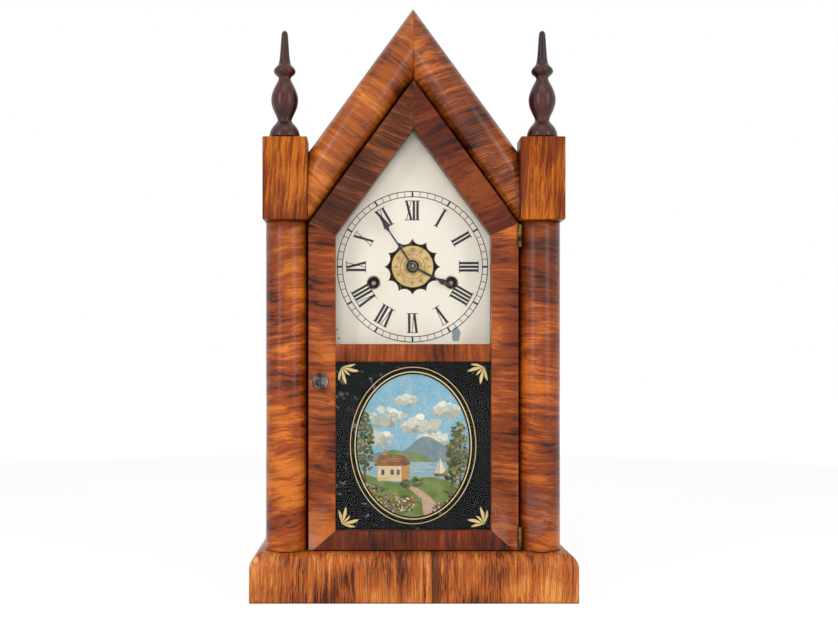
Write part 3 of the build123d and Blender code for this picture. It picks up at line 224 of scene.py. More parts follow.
def buildCrevices():
    # 1 where surfaces meet within Reach, in metres, 0 in the open: the mask for painted shade and grime in crevices
    tree, given, put = newGroup("crevices", [("Reach", "f"), ("Strength", "f")], [("Mask", "f")])
    openness = addNode(tree, "ShaderNodeAmbientOcclusion", {"Distance": given["Reach"]}, samples=6).outputs["AO"]
    give(tree, put["Mask"], times(tree, between(tree, openness, 0.75, 0.25), given["Strength"]))
    return tree


def buildStipple():
    # paint laid in small dots and faded in soft patches
    tree, given, put = newGroup("stipple", [("Place", "v"), ("Laid", "c"), ("Amount", "f")], [("Colour", "c")])
    dots = between(tree, noise(tree, given["Place"], 1.4, 4, 0.7), 0.42, 0.6)
    soft = between(tree, noise(tree, given["Place"], 0.12, 3), 0.3, 0.75)
    dotted = times(tree, dots, given["Amount"])
    faded = times(tree, calc(tree, "MULTIPLY", soft, given["Amount"]), 0.3)
    colour = mixColours(tree, dotted, given["Laid"], paint(30, 34, 26), "MULTIPLY")
    give(tree, put["Colour"], mixColours(tree, faded, colour, paint(244, 236, 208)))
    return tree


veneerGroup = buildVeneer()
dustGroup = buildDust()
tarnishGroup = buildTarnish()
spotGroup = buildSpot()
creviceGroup = buildCrevices()
stippleGroup = buildStipple()


def newMaterial(name):
    material = bpy.data.materials.new(name)
    material.use_nodes = True
    tree = material.node_tree
    return material, tree, tree.nodes["Principled BSDF"]


def setShader(shader, **values):
    for name, value in values.items():
        give(shader.id_data, shader.inputs[name.replace("_", " ")], value)


def crevices(tree, colour, dark, reach=4.0, strength=0.75):
    # painted shade and grime where surfaces meet within this many millimetres
    mask = useGroup(tree, creviceGroup, {"Reach": reach * mm, "Strength": strength})["Mask"]
    return mixColours(tree, mask, colour, dark)


def spotMask(tree, place, centre, radii, ragged=0.5):
    spot = {"Place": place, "Centre": centre, "Radii": radii, "Ragged": ragged}
    return useGroup(tree, spotGroup, spot)["Mask"]


def bumpy(tree, shader, height, strength=0.3, distance=0.15):
    bump = addNode(tree, "ShaderNodeBump", {"Height": height, "Strength": strength, "Distance": distance * mm})
    give(tree, shader.inputs["Normal"], bump.outputs[0])


def veneer(name, look, extra=None):
    material, tree, shader = newMaterial(name)
    turned = placeInMm(tree, look["angle"] - 90, look["offset"], look.get("depth", 0.15))
    grain = useGroup(tree, veneerGroup, {
        "Place": turned, "Figure": look["figure"], "Streaks": look["streaks"],
        "Dark": paint(*look["dark"]), "Mid": paint(*look["mid"]), "Light": paint(*look["light"])})
    colour = grain["Colour"]
    place = placeInMm(tree)
    if extra:
        colour = extra(tree, place, colour)
    if "dust" in look:
        mask = useGroup(tree, dustGroup, {"Place": place, "Top": look["dustTop"], "Amount": look["dust"]})["Mask"]
        colour = mixColours(tree, mask, colour, paint(*woodDustAndShade["dust"]))
    # painted shade and grime darken the wood where surfaces meet
    colour = crevices(tree, colour, paint(*woodDustAndShade["dirt"]))
    setShader(shader, Base_Color=colour, Roughness=grain["Roughness"], Specular_IOR_Level=0.1,
              Coat_Weight=0.8 * look["polish"], Coat_Roughness=0.28)
    bumpy(tree, shader, grain["Height"], 0.35, 0.08)
    return material


def metal(name, look):
    material, tree, shader = newMaterial(name)
    worn = useGroup(tree, tarnishGroup, {
        "Place": placeInMm(tree), "Clean": paint(*look["clean"]), "Tarnished": paint(*look["tarnished"]),
        "Amount": look["amount"]})
    # painted shade and grime darken the metal where surfaces meet
    colour = crevices(tree, worn["Colour"], paint(*look["dirt"]), look.get("reach", 1.2))
    setShader(shader, Base_Color=colour, Roughness=worn["Roughness"], Metallic=look["metallic"])
    bumpy(tree, shader, worn["Height"], look.get("bump", 0.15), 0.05)
    return material


# wood: angle is the grain's direction in the front view, in degrees up from the right

# dust is real dust low down; dirt is the colour of the painted shade and grime where surfaces meet
woodDustAndShade = {"dust": (186, 152, 138), "dirt": (24, 12, 8)}
woodLooks = {
    "leftColumn": dict(
        dark=(56, 17, 4), mid=(150, 64, 14), light=(216, 118, 36),
        angle=8, offset=(0, 0, 0), figure=0.7, streaks=0.6, polish=0.45),
    "rightColumn": dict(
        dark=(39, 11, 4), mid=(133, 54, 10), light=(205, 105, 28),
        angle=-6, offset=(40, 70, 11), figure=0.7, streaks=0.65, polish=0.5, dust=0.25, dustTop=120),
    "capital": dict(
        dark=(44, 10, 4), mid=(121, 49, 4), light=(195, 106, 23),
        angle=86, offset=(15, 9, 40), figure=0.2, streaks=0.9, polish=0.2),
    "leftGable": dict(
        dark=(76, 27, 4), mid=(157, 77, 20), light=(215, 127, 49),
        angle=-36, offset=(12, 55, 31), figure=0.2, streaks=0.5, polish=0.6),
    "rightGable": dict(
        dark=(36, 13, 6), mid=(115, 50, 14), light=(193, 105, 40),
        angle=18, offset=(81, 5, 31), figure=0.35, streaks=0.9, polish=0.6),
    "leftRail": dict(
        dark=(23, 8, 4), mid=(80, 35, 13), light=(134, 73, 36),
        angle=-22, offset=(7, 31, 8), figure=0.25, streaks=0.9, polish=0.25),
    "rightRail": dict(
        dark=(30, 10, 5), mid=(86, 32, 10), light=(132, 62, 22),
        angle=24, offset=(70, 12, 3), figure=0.35, streaks=0.8, polish=0.25),
    "stile": dict(
        dark=(39, 11, 4), mid=(129, 56, 17), light=(194, 103, 38),
        angle=-4, offset=(3, 17, 25), figure=0.5, streaks=0.6, polish=0.3, dust=0.38, dustTop=100),
    "middleRail": dict(
        dark=(54, 17, 4), mid=(124, 53, 12), light=(173, 85, 26),
        angle=88, offset=(33, 1, 66), figure=0.35, streaks=0.8, polish=0.3),
    "bottomRail": dict(
        dark=(32, 8, 4), mid=(98, 36, 5), light=(157, 68, 15),
        angle=90, offset=(9, 61, 20), figure=0.25, streaks=0.9, polish=0.3),
    "base": dict(
        dark=(68, 30, 14), mid=(184, 96, 42), light=(230, 154, 76),
        angle=89, offset=(21, 40, 60), figure=0.2, streaks=1.2, polish=0.2),
    "sides": dict(
        dark=(48, 24, 15), mid=(86, 44, 26), light=(116, 62, 36),
        angle=90, offset=(5, 5, 77), figure=0.4, streaks=0.7, polish=0.15, depth=1.0),
    "roof": dict(
        dark=(44, 22, 14), mid=(80, 42, 26), light=(108, 60, 36),
        angle=36, offset=(90, 3, 7), figure=0.4, streaks=0.7, polish=0.1, depth=1.0),
    # near-black frame: painted shade, so the gaps round the door read dark
    "frame": dict(
        dark=(16, 9, 7), mid=(30, 16, 11), light=(44, 24, 16),
        angle=90, offset=(8, 8, 8), figure=0.2, streaks=0.5, polish=0.05, depth=1.0),
    "pine": dict(
        dark=(118, 82, 50), mid=(162, 122, 78), light=(186, 148, 102),
        angle=90, offset=(50, 22, 13), figure=0.6, streaks=0.5, polish=0.0, dust=0.3, dustTop=90, depth=1.0),
    "finial": dict(
        dark=(22, 6, 4), mid=(44, 13, 9), light=(78, 27, 17),
        angle=90, offset=(2, 2, 2), figure=0.2, streaks=0.3, polish=0.7, depth=1.0),
}

baseVeneer = {"seam": 14.6, "darkBandEnd": 21.5, "paleSeam": 6.0, "chip": (-131.6, -50.0, 36.0),
              "chipReach": (2.2, 9.0, 2.6), "bandColour": (44, 24, 14), "seamColour": (214, 156, 92),
              "chipColour": (216, 168, 112)}
columnTop = {"from": 250.0, "to": 318.0, "strength": 0.4, "colour": (84, 40, 22)}


def baseDetails(tree, place, colour):
    # the front strip is pieced: a seam with a dark band beside it, a pale line, and a small chip at the left end
    across = along(tree, place, "X")
    band = times(tree, between(tree, across, baseVeneer["seam"] - 0.1, baseVeneer["seam"] + 0.1),
                between(tree, across, baseVeneer["darkBandEnd"] + 2, baseVeneer["darkBandEnd"] - 2))
    colour = mixColours(tree, times(tree, band, 0.72), colour, paint(*baseVeneer["bandColour"]))
    away = calc(tree, "ABSOLUTE", calc(tree, "SUBTRACT", across, baseVeneer["paleSeam"]))
    colour = mixColours(tree, between(tree, away, 0.35, 0.15), colour, paint(*baseVeneer["seamColour"]))
    chip = spotMask(tree, place, baseVeneer["chip"], baseVeneer["chipReach"])
    return mixColours(tree, chip, colour, paint(*baseVeneer["chipColour"]))


def columnDetails(tree, place, colour):
    # darker towards the top
    height = along(tree, place, "Z")
    shade = between(tree, height, columnTop["from"], columnTop["to"])
    return mixColours(tree, times(tree, shade, columnTop["strength"]), colour, paint(*columnTop["colour"]))


woodExtras = {"base": baseDetails, "leftColumn": columnDetails, "rightColumn": columnDetails}
woods = {name: veneer(name, look, woodExtras.get(name)) for name, look in woodLooks.items()}
print("wood materials made")

# dirt is the colour of the painted shade and grime in each metal's crevices
metalLooks = {
    "brass": dict(
        clean=(204, 172, 98), tarnished=(132, 104, 54), dirt=(30, 22, 12),
        amount=0.8, metallic=0.85),
    "hingeBrass": dict(
        clean=(132, 98, 48), tarnished=(34, 24, 17), dirt=(16, 10, 8),
        amount=1.0, metallic=0.8),
    "discBrass": dict(
        clean=(216, 188, 128), tarnished=(150, 118, 64), dirt=(40, 26, 10),
        amount=0.5, metallic=0.85, reach=2.4, bump=0.3),
    # painted shade: the front plate's brass is made dark so that it reads as shaded behind the dial's holes and
    # star
    "plateBrassPaintedShade": dict(
        clean=(92, 72, 38), tarnished=(36, 30, 22), dirt=(10, 8, 6),
        amount=1.0, metallic=0.7),
    "steel": dict(
        clean=(170, 170, 168), tarnished=(98, 92, 86), dirt=(22, 20, 18),
        amount=0.7, metallic=0.95),
    "blackSteel": dict(
        clean=(44, 46, 50), tarnished=(28, 28, 30), dirt=(8, 8, 8),
        amount=0.8, metallic=0.35),
    "bronze": dict(
        clean=(132, 122, 114), tarnished=(40, 34, 31), dirt=(12, 9, 8),
        amount=0.9, reach=2.2, metallic=0.9, bump=0.4),
    "iron": dict(
        clean=(42, 40, 38), tarnished=(62, 42, 30), dirt=(10, 8, 7),
        amount=0.6, metallic=0.2, bump=0.6),
}
metals = {name: metal(name, look) for name, look in metalLooks.items()}

dialLook = {
    "paint": (236, 229, 214), "dirt": (206, 196, 172), "wear": (112, 86, 50), "print": (20, 21, 23),
    "flake": (37.5, -16.6, 224.5), "flakeReach": (3.6, 9.0, 6.4), "flakeColour": (132, 140, 142),
    "spots": ((-65.0, -16.6, 228.5), (-63.5, -16.6, 221.0)), "spotReach": (0.9, 3.0, 0.7),
    "spotColour": (150, 104, 56), "holeWear": (5.2, 3.4), "shadow": (128, 118, 96),
}
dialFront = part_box("dial_plate")[0].y
discLow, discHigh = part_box("alarm_disc")
dialCentre = (discLow + discHigh) / 2


def makeDialPaint():
    material, tree, shader = newMaterial("dialPaint")
    place = placeInMm(tree)
    clouds = between(tree, noise(tree, place, 0.03, 4, 0.6), 0.35, 0.8)
    yellowed = times(tree, clouds, 0.3)
    colour = mixColours(tree, yellowed, paint(*dialLook["paint"]), paint(*dialLook["dirt"]))
    cells = addNode(tree, "ShaderNodeTexVoronoi", {"Vector": place, "Scale": 0.16}, feature="DISTANCE_TO_EDGE")
    cracks = between(tree, cells.outputs["Distance"], 0.012, 0.002)
    patchy = between(tree, noise(tree, place, 0.035, 2), 0.5, 0.66)
    cracked = times(tree, calc(tree, "MULTIPLY", cracks, patchy), 0.3)
    colour = mixColours(tree, cracked, colour, paint(*dialLook["wear"]))
    for node in ("time_winding_arbor", "strike_winding_arbor"):
        low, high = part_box(node)
        hole = ((low + high) / 2 / mm)[:]
        away = vectorCalc(tree, "MULTIPLY", vectorCalc(tree, "SUBTRACT", place, hole), (1.0, 0.0, 1.0))
        reach = vectorCalc(tree, "LENGTH", away)
        rubbed = calc(tree, "MULTIPLY_ADD", noise(tree, place, 0.6, 4, 0.7), -3.2, reach)
        colour = mixColours(tree, between(tree, rubbed, *dialLook["holeWear"]), colour, paint(*dialLook["wear"]))
    for spot in dialLook["spots"]:
        brown = spotMask(tree, place, spot, dialLook["spotReach"], 0.4)
        colour = mixColours(tree, brown, colour, paint(*dialLook["spotColour"]))
    flake = spotMask(tree, place, dialLook["flake"], dialLook["flakeReach"], 0.7)
    colour = mixColours(tree, flake, colour, paint(*dialLook["flakeColour"]))
    colour = crevices(tree, colour, paint(*dialLook["shadow"]), 2.5, 0.3)
    setShader(shader, Base_Color=colour, Roughness=calc(tree, "MULTIPLY_ADD", clouds, 0.2, 0.4))
    bumpy(tree, shader, calc(tree, "SUBTRACT", noise(tree, place, 0.5, 3), cracks), 0.1, 0.1)
    return material


def makePrintInk():
    # printed figures, rubbed thin in places
    material, tree, shader = newMaterial("dialPrint")
    place = placeInMm(tree)
    rubbed = between(tree, noise(tree, place, 1.3, 4, 0.7), 0.74, 0.66)
    colour = mixColours(tree, calc(tree, "MULTIPLY_ADD", rubbed, 0.6, 0.4), paint(*dialLook["paint"]),
                        paint(*dialLook["print"]))
    setShader(shader, Base_Color=colour, Roughness=0.5)
    return material


def makeGlass():
    material, tree, shader = newMaterial("windowGlass")
    edgeOn = addNode(tree, "ShaderNodeLayerWeight", {"Blend": 0.25}).outputs["Fresnel"]
    ripples = noise(tree, placeInMm(tree), 0.03, 2)
    setShader(shader, Base_Color=(0.9, 0.93, 0.92, 1), Alpha=times(tree, edgeOn, 0.4), Metallic=1.0, Roughness=0.03)
    bumpy(tree, shader, ripples, 0.2, 0.4)
    return material


def makePutty():
    material, tree, shader = newMaterial("oldPutty")
    lumps = noise(tree, placeInMm(tree), 0.4, 5, 0.65)
    setShader(shader, Base_Color=mixColours(tree, lumps, paint(112, 92, 70), paint(160, 140, 112)), Roughness=0.9)
    bumpy(tree, shader, lumps, 0.6, 0.6)
    return material


def makeTabletGround():
    # black paint on the glass, flaked in small grey spots, most of them at the left
    material, tree, shader = newMaterial("tabletGround")
    place = placeInMm(tree)
    across = along(tree, place, "X")
    likely = between(tree, across, 70.0, -70.0)
    flakes = noise(tree, place, 0.16, 5, 0.66)
    flaked = between(tree, calc(tree, "MULTIPLY_ADD", likely, 0.07, flakes), 0.665, 0.69)
    haze = times(tree, between(tree, noise(tree, place, 0.05, 3), 0.5, 0.8), 0.4)
    colour = mixColours(tree, haze, paint(3, 3, 4), paint(12, 12, 14))
    colour = mixColours(tree, flaked, colour, paint(92, 96, 102))
    setShader(shader, Base_Color=colour, Roughness=0.4, Specular_IOR_Level=0.03)
    bumpy(tree, shader, flakes, 0.1, 0.1)
    return material


def makePicturePaint(name, roughness, stipple):
    # paint whose colour is kept on the mesh
    material, tree, shader = newMaterial(name)
    laid = addNode(tree, "ShaderNodeAttribute", attribute_name="paint").outputs["Color"]
    stippled = useGroup(tree, stippleGroup, {"Place": placeInMm(tree), "Laid": laid, "Amount": stipple})
    setShader(shader, Base_Color=stippled["Colour"], Roughness=roughness, Specular_IOR_Level=0.15)
    return material


dialPaint = makeDialPaint()
printInk = makePrintInk()
windowGlass = makeGlass()
oldPutty = makePutty()
tabletGround = makeTabletGround()
picturePaint = makePicturePaint("picturePaint", 0.45, 0.42)
print("metal, dial and tablet materials made")


# shaping

def finishPiece(mesh, name, body, material, smoothBelow=35):
    bmesh.ops.recalc_face_normals(mesh, faces=mesh.faces)
    data = bpy.data.meshes.new(name)
    mesh.to_mesh(data)
    mesh.free()
    data.shade_smooth()
    data.set_sharp_from_angle(angle=math.radians(smoothBelow))
    piece = bpy.data.objects.new(name, data)
    data.materials.append(material)
    bpy.context.scene.collection.objects.link(piece)
    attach(piece, body)
    return piece


def dress(node, material):
    shown = nodes[node]
    if not shown.material_slots:
        shown.data.materials.append(material)
    for place in shown.material_slots:
        place.material = material


easing = {"woodWidth": 0.35, "handWidth": 0.12, "segments": 2, "flatBelow": 1, "sharpAbove": 32}


def softenEdges(node, material, width):
    # the node's own shape with its sharp edges eased, which stands for it
    mesh = bmesh.new()
    mesh.from_mesh(nodes[node].data)
    bmesh.ops.remove_doubles(mesh, verts=mesh.verts, dist=1e-6)
    flat, limit = math.radians(easing["flatBelow"]), math.radians(easing["sharpAbove"])
    bmesh.ops.dissolve_limit(mesh, angle_limit=flat, verts=mesh.verts, edges=mesh.edges)
    sharp = [edge for edge in mesh.edges if len(edge.link_faces) == 2 and edge.calc_face_angle(0) > limit]
    bmesh.ops.bevel(mesh, geom=sharp, offset=width * mm, offset_type="OFFSET", segments=easing["segments"],
                    profile=0.5, affect="EDGES", material=-1, clamp_overlap=True)
    words = node.split("_")
    name = words[0] + "".join(word.capitalize() for word in words[1:]) + "Eased"
    piece = finishPiece(mesh, name, bodyOfNode[node], material)
    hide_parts(node)
    return piece


def thicken(mesh, faces, depth):
    # gives flat faces a back, this far behind them
    made = bmesh.ops.extrude_face_region(mesh, geom=faces)["geom"]
    corners = [part for part in made if isinstance(part, bmesh.types.BMVert)]
    bmesh.ops.translate(mesh, vec=(0, depth, 0), verts=corners)
    return made


def addPrism(mesh, points, front, back, paintLayer=None, colour=None):
    # a thin flat shape from front-view points in metres
    face = mesh.faces.new([mesh.verts.new((x, front, z)) for x, z in points])
    made = thicken(mesh, [face], back - front)
    if paintLayer:
        around = {face} | {part for part in made if isinstance(part, bmesh.types.BMFace)}
        around |= {side for edge in face.edges for side in edge.link_faces}
        for part in around:
            for loop in part.loops:
                loop[paintLayer] = colour


def addLine(mesh, pointAt, inner, outer, steps, overlap, front, back, paintLayer=None, colour=None):
    # a closed line of short prisms from one outline to another, whose points are pointAt(outline, turn)
    for n in range(steps):
        start, end = math.tau * n / steps, math.tau * (n + 1 + overlap) / steps
        points = [pointAt(inner, start), pointAt(outer, start), pointAt(outer, end), pointAt(inner, end)]
        addPrism(mesh, points, front, back, paintLayer, colour)


def turnOutline(mesh, outline, centre, ahead, steps):
    # a full turn of (radius, length) points, in millimetres, about the direction ahead
    verts = [mesh.verts.new(centre + (Vector((radius, 0, 0)) + length * ahead) * mm) for radius, length in outline]
    edges = [mesh.edges.new(pair) for pair in zip(verts, verts[1:])]
    bmesh.ops.spin(mesh, geom=verts + edges, cent=centre, axis=ahead, angle=math.tau, steps=steps, use_merge=True)
    bmesh.ops.remove_doubles(mesh, verts=mesh.verts, dist=1e-6)


def addDome(mesh, centre, radius, height, segments=12):
    # a low round bump that faces the front
    made = bmesh.ops.create_uvsphere(mesh, u_segments=segments, v_segments=8, radius=radius * mm)["verts"]
    bmesh.ops.rotate(mesh, verts=made, cent=(0, 0, 0), matrix=Matrix.Rotation(math.pi / 2, 3, "X"))
    bmesh.ops.scale(mesh, vec=(1, height / radius, 1), verts=made)
    bmesh.ops.translate(mesh, vec=centre, verts=made)


# case, door and their edges

easedNodes = {
    "base_front_moulding": "base", "base_returns": "base", "left_column": "leftColumn",
    "right_column": "rightColumn", "left_capital": "capital", "right_capital": "capital",
    "left_gable_moulding": "leftGable", "right_gable_moulding": "rightGable", "side_boards": "sides",
    "roof_boards": "roof", "backboard": "pine", "door_left_gable_rail": "leftRail",
    "door_right_gable_rail": "rightRail", "door_latch_stile": "stile", "door_hinge_stile": "stile",
    "door_middle_rail": "middleRail", "door_bottom_rail": "bottomRail",
}
for node, wood in easedNodes.items():
    softenEdges(node, woods[wood], easing["woodWidth"])
for node in ("minute_hand", "hour_hand"):
    softenEdges(node, metals["blackSteel"], easing["handWidth"])
print("wooden pieces eased")

# the front frame's near-black wood is painted shade for the gaps round the door
for wood, group in {"frame": ("front_frame",), "pine": ("bottom_board", "dial_cleats", "movement_rails")}.items():
    for node in group:
        dress(node, woods[wood])
metalNodes = {
    "hingeBrass": ("hinge_case_leaves", "hinge_door_leaves"),
    # the front plate gets brass painted dark as shade for the recess behind the dial
    "plateBrassPaintedShade": ("front_plate",),
    "brass": ("back_plate", "motion_wheel", "hour_pipe_wheel", "time_great_wheel", "time_second_wheel",
              "time_third_wheel", "escape_wheel", "centre_wheel", "strike_great_wheel", "strike_second_wheel",
              "strike_fly", "pendulum_bob"),
    "steel": ("wood_screws", "plate_pillars", "mainsprings", "minute_arbor", "time_winding_arbor",
              "strike_winding_arbor", "verge_and_crutch", "pendulum_rod", "gong_coil", "strike_hammer",
              "alarm_hammer", "latch_tongue"),
    "iron": ("gong_base", "alarm_bracket"),
}
for kind, group in metalNodes.items():
    for node in group:
        dress(node, metals[kind])
dress("dial_plate", dialPaint)
dress("upper_glass", windowGlass)
dress("lower_glass", windowGlass)
dress("glazing_putty", oldPutty)
print("carried-over nodes dressed")


# finials, by their turned outline of (radius, height) in millimetres

finialOutline = [
    (0, 0), (12.7, 0), (13.0, 1.2), (12.9, 3.6), (12.0, 7.0), (10.1, 10.3), (7.5, 12.9), (5.7, 15.4), (6.3, 17.9),
    (9.0, 22.9), (11.0, 28.0), (11.6, 33.0), (11.1, 37.3), (8.9, 43.1), (6.0, 48.2), (4.9, 50.7), (5.3, 52.4),
    (7.8, 54.1), (9.3, 55.8), (9.3, 58.3), (7.6, 60.4), (5.7, 61.9), (4.7, 64.4), (3.9, 70.9), (3.1, 83.6),
    (2.7, 89.2), (1.7, 90.9), (0, 91.3),
]


def makeFinial(node, name):
    low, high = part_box(node)
    foot = Vector(((low.x + high.x) / 2, (low.y + high.y) / 2, high.z - finialOutline[-1][1] * mm))
    mesh = bmesh.new()
    turnOutline(mesh, finialOutline, foot, Vector((0, 0, 1)), 48)
    piece = finishPiece(mesh, name, "case", woods["finial"], 60)
    smooth = piece.modifiers.new("smooth", "SUBSURF")
    smooth.levels = smooth.render_levels = 1
    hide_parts(node)


makeFinial("left_finial", "leftFinialTurned")
makeFinial("right_finial", "rightFinialTurned")
print("finials turned")


# knob

knob = {"petals": 4, "petalSpread": 2.5, "petalRadius": 2.1, "petalHeight": 1.15, "bossRadius": 1.3,
        "bossHeight": 1.35, "spindle": 1.75, "standsProud": 11.0, "face": 9.8}
towardsFront = Vector((0, -1, 0))


def makeKnob():
    low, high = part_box("door_knob")
    back = Vector(((low.x + high.x) / 2, high.y, (low.z + high.z) / 2))
    length = (high.y - low.y) / mm
    radius = (high.x - low.x) / 2 / mm
    spindle, doorFront = knob["spindle"], length - knob["standsProud"]
    outline = [
        (0, 0), (spindle, 0), (spindle, doorFront + 0.1), (4.3, doorFront + 0.1), (4.4, doorFront + 0.6),
        (3.5, doorFront + 1.6), (3.1, doorFront + 3.4), (3.2, doorFront + 4.8), (4.2, doorFront + 6.4),
        (5.9, doorFront + 7.5), (radius - 0.15, doorFront + 8.3), (radius, doorFront + 8.9),
        (radius - 0.2, doorFront + 9.6), (radius - 0.8, doorFront + 10.1), (radius - 1.4, doorFront + 9.9),
        (radius - 1.8, doorFront + 9.55), (2.5, doorFront + 9.9), (0, doorFront + 10.0),
    ]
    mesh = bmesh.new()
    turnOutline(mesh, outline, back, towardsFront, 48)
    face = back + (doorFront + knob["face"]) * mm * towardsFront
    spread = knob["petalSpread"] * mm
    for n in range(knob["petals"]):
        turn = math.tau * (n + 0.5) / knob["petals"]
        petal = face + Vector((spread * math.cos(turn), 0, spread * math.sin(turn)))
        addDome(mesh, petal, knob["petalRadius"], knob["petalHeight"])
    addDome(mesh, face, knob["bossRadius"], knob["bossHeight"])
    piece = finishPiece(mesh, "doorKnobTurned", "latch", metals["bronze"], 50)
    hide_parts("door_knob")


makeKnob()
print("knob made")


# alarm disc with embossed numbers

alarmDisc = {"numberRadius": 14.1, "numberSize": 3.9, "relief": 0.36, "numberGrimeAndShade": 0.06, "outline": 0.22,
             "dotRings": ((30, 8.8), (60, 12.0)), "dotRadius": 0.35, "face": 0.8}


def addNumber(mesh, text, centre, turn, size, relief, outline=0.0):
    # a number in relief whose top points away from the disc's centre, turned clockwise
    curve = bpy.data.curves.new("number", "FONT")
    curve.body = text
    curve.size = size * mm
    curve.extrude = relief * mm
    curve.offset = outline * mm
    curve.align_x = "CENTER"
    curve.align_y = "CENTER"
    holder = bpy.data.objects.new("number", curve)
    bpy.context.scene.collection.objects.link(holder)
    bpy.context.view_layer.update()
    data = bpy.data.meshes.new_from_object(holder)
    across = Vector((math.cos(turn), 0, -math.sin(turn)))
    up = Vector((math.sin(turn), 0, math.cos(turn)))
    place = Matrix((across, up, towardsFront)).transposed().to_4x4()
    place.translation = centre
    data.transform(place)
    mesh.from_mesh(data)
    bpy.data.objects.remove(holder)
    bpy.data.curves.remove(curve)
    bpy.data.meshes.remove(data)


def makeAlarmDisc():
    radius = (discHigh.x - discLow.x) / 2 / mm
    centre = Vector((dialCentre.x, discHigh.y, dialCentre.z))
    outline = [
        (3.45, 0), (radius - 0.4, 0), (radius, 0.25), (radius, 0.75), (radius - 0.35, 1.0), (radius - 1.0, 1.0),
        (radius - 1.4, 0.8), (10.9, 0.8), (10.75, 0.3), (10.25, 0.3), (10.1, 0.8), (7.5, 0.8), (7.35, 0.3),
        (6.85, 0.3), (6.7, 0.8), (4.8, 0.8), (4.6, 1.0), (4.6, 1.8), (4.4, 2.0), (3.45, 2.0), (3.45, 0),
    ]
    mesh = bmesh.new()
    numberGrimeAndShade = bmesh.new()
    turnOutline(mesh, outline, centre, towardsFront, 96)
    face = centre + alarmDisc["face"] * mm * towardsFront

    def spotAt(reach, turn):
        return face + reach * mm * Vector((math.sin(turn), 0, math.cos(turn)))

    for count, ring in alarmDisc["dotRings"]:
        for n in range(count):
            dot = bmesh.ops.create_icosphere(mesh, subdivisions=1, radius=alarmDisc["dotRadius"] * mm)["verts"]
            bmesh.ops.translate(mesh, vec=spotAt(ring, math.tau * n / count), verts=dot)
    for hour in range(1, 13):
        turn = math.tau * hour / 12
        spot = spotAt(alarmDisc["numberRadius"], turn)
        addNumber(mesh, str(hour), spot, turn, alarmDisc["numberSize"], alarmDisc["relief"])
        # a flatter, slightly larger dark copy under each number: painted shade and grime round the raised figure
        addNumber(numberGrimeAndShade, str(hour), spot, turn, alarmDisc["numberSize"], alarmDisc["numberGrimeAndShade"], alarmDisc["outline"])
    piece = finishPiece(mesh, "alarmDiscEmbossed", "alarm_setting", metals["discBrass"])
    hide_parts("alarm_disc")
    # dark brass for the painted shade and grime round the numbers
    finishPiece(numberGrimeAndShade, "alarmDiscGrimeAndShade", "alarm_setting", metals["hingeBrass"])


makeAlarmDisc()
print("alarm disc made")


# printed dial: minute track and Roman figures with their feet inwards

dialInk = {
    "outerRing": 65.0, "innerRing": 60.4, "ringWidth": 0.72, "thinTick": 0.55, "thickTick": 1.6,
    "figureTop": 56.9, "figureFoot": 40.4, "thick": 2.15, "thin": 0.6, "serif": 0.6, "thickness": 0.04,
    "serifReach": 0.6, "slantMargin": 0.75, "ringSteps": 180, "ringOverlap": 0.001,
    "steps": {"I": 3.15, "V": 5.6, "X": 5.6},
}
figures = ("I", "II", "III", "IIII", "V", "VI", "VII", "VIII", "IX", "X", "XI", "XII")


def dialPoint(radius, across, turn):
    # a point of the dial, in metres: radius and across are in millimetres for a figure at this turn from twelve
    x = radius * math.sin(turn) + across * math.cos(turn)
    z = radius * math.cos(turn) - across * math.sin(turn)
    return (dialCentre.x + x * mm, dialCentre.z + z * mm)


def addStroke(mesh, turn, start, end, width):
    # start and end are (radius, across)
    half = width / 2
    corners = ((start, -half), (start, half), (end, half), (end, -half))
    points = [dialPoint(radius, across + side, turn) for (radius, across), side in corners]
    addPrism(mesh, points, dialFront - dialInk["thickness"] * mm, dialFront)


def addFigure(mesh, text, turn):
    top, foot = dialInk["figureTop"], dialInk["figureFoot"]
    thick, thin, serif = dialInk["thick"], dialInk["thin"], dialInk["serif"]
    steps = dialInk["steps"]
    width = sum(steps[letter] for letter in text)
    left = -width / 2
    for letter in text:
        step = steps[letter]
        middle = left + step / 2
        reach = step / 2 - dialInk["slantMargin"]
        if letter == "I":
            addStroke(mesh, turn, (foot, middle), (top, middle), thick)
        elif letter == "V":
            addStroke(mesh, turn, (foot, middle), (top, middle - reach), thick)
            addStroke(mesh, turn, (foot, middle + 0.4), (top, middle + reach), thin)
        else:
            addStroke(mesh, turn, (foot, middle + reach), (top, middle - reach), thick)
            addStroke(mesh, turn, (foot, middle - reach), (top, middle + reach), thin)
        left += step
    across = width + 2 * dialInk["serifReach"]
    for radius in (top, foot):
        addStroke(mesh, turn, (radius - serif / 2, 0), (radius + serif / 2, 0), across)


def makeDialPrint():
    mesh = bmesh.new()
    front, half = dialFront - dialInk["thickness"] * mm, dialInk["ringWidth"] / 2
    for radius in (dialInk["outerRing"], dialInk["innerRing"]):
        addLine(mesh, lambda reach, turn: dialPoint(reach, 0, turn), radius - half, radius + half,
                dialInk["ringSteps"], dialInk["ringOverlap"], front, dialFront)
    ends = (dialInk["innerRing"], 0), (dialInk["outerRing"], 0)
    for minute in range(60):
        width = dialInk["thinTick"] if minute % 5 else dialInk["thickTick"]
        addStroke(mesh, math.tau * minute / 60, *ends, width)
    for hour, text in enumerate(figures, 1):
        addFigure(mesh, text, math.tau * hour / 12)
    finishPiece(mesh, "dialPrinting", "case", printInk)


makeDialPrint()
print("dial printed")


# painted tablet behind the lower glass: an oval view of a lake, with a gold border and corner sprigs

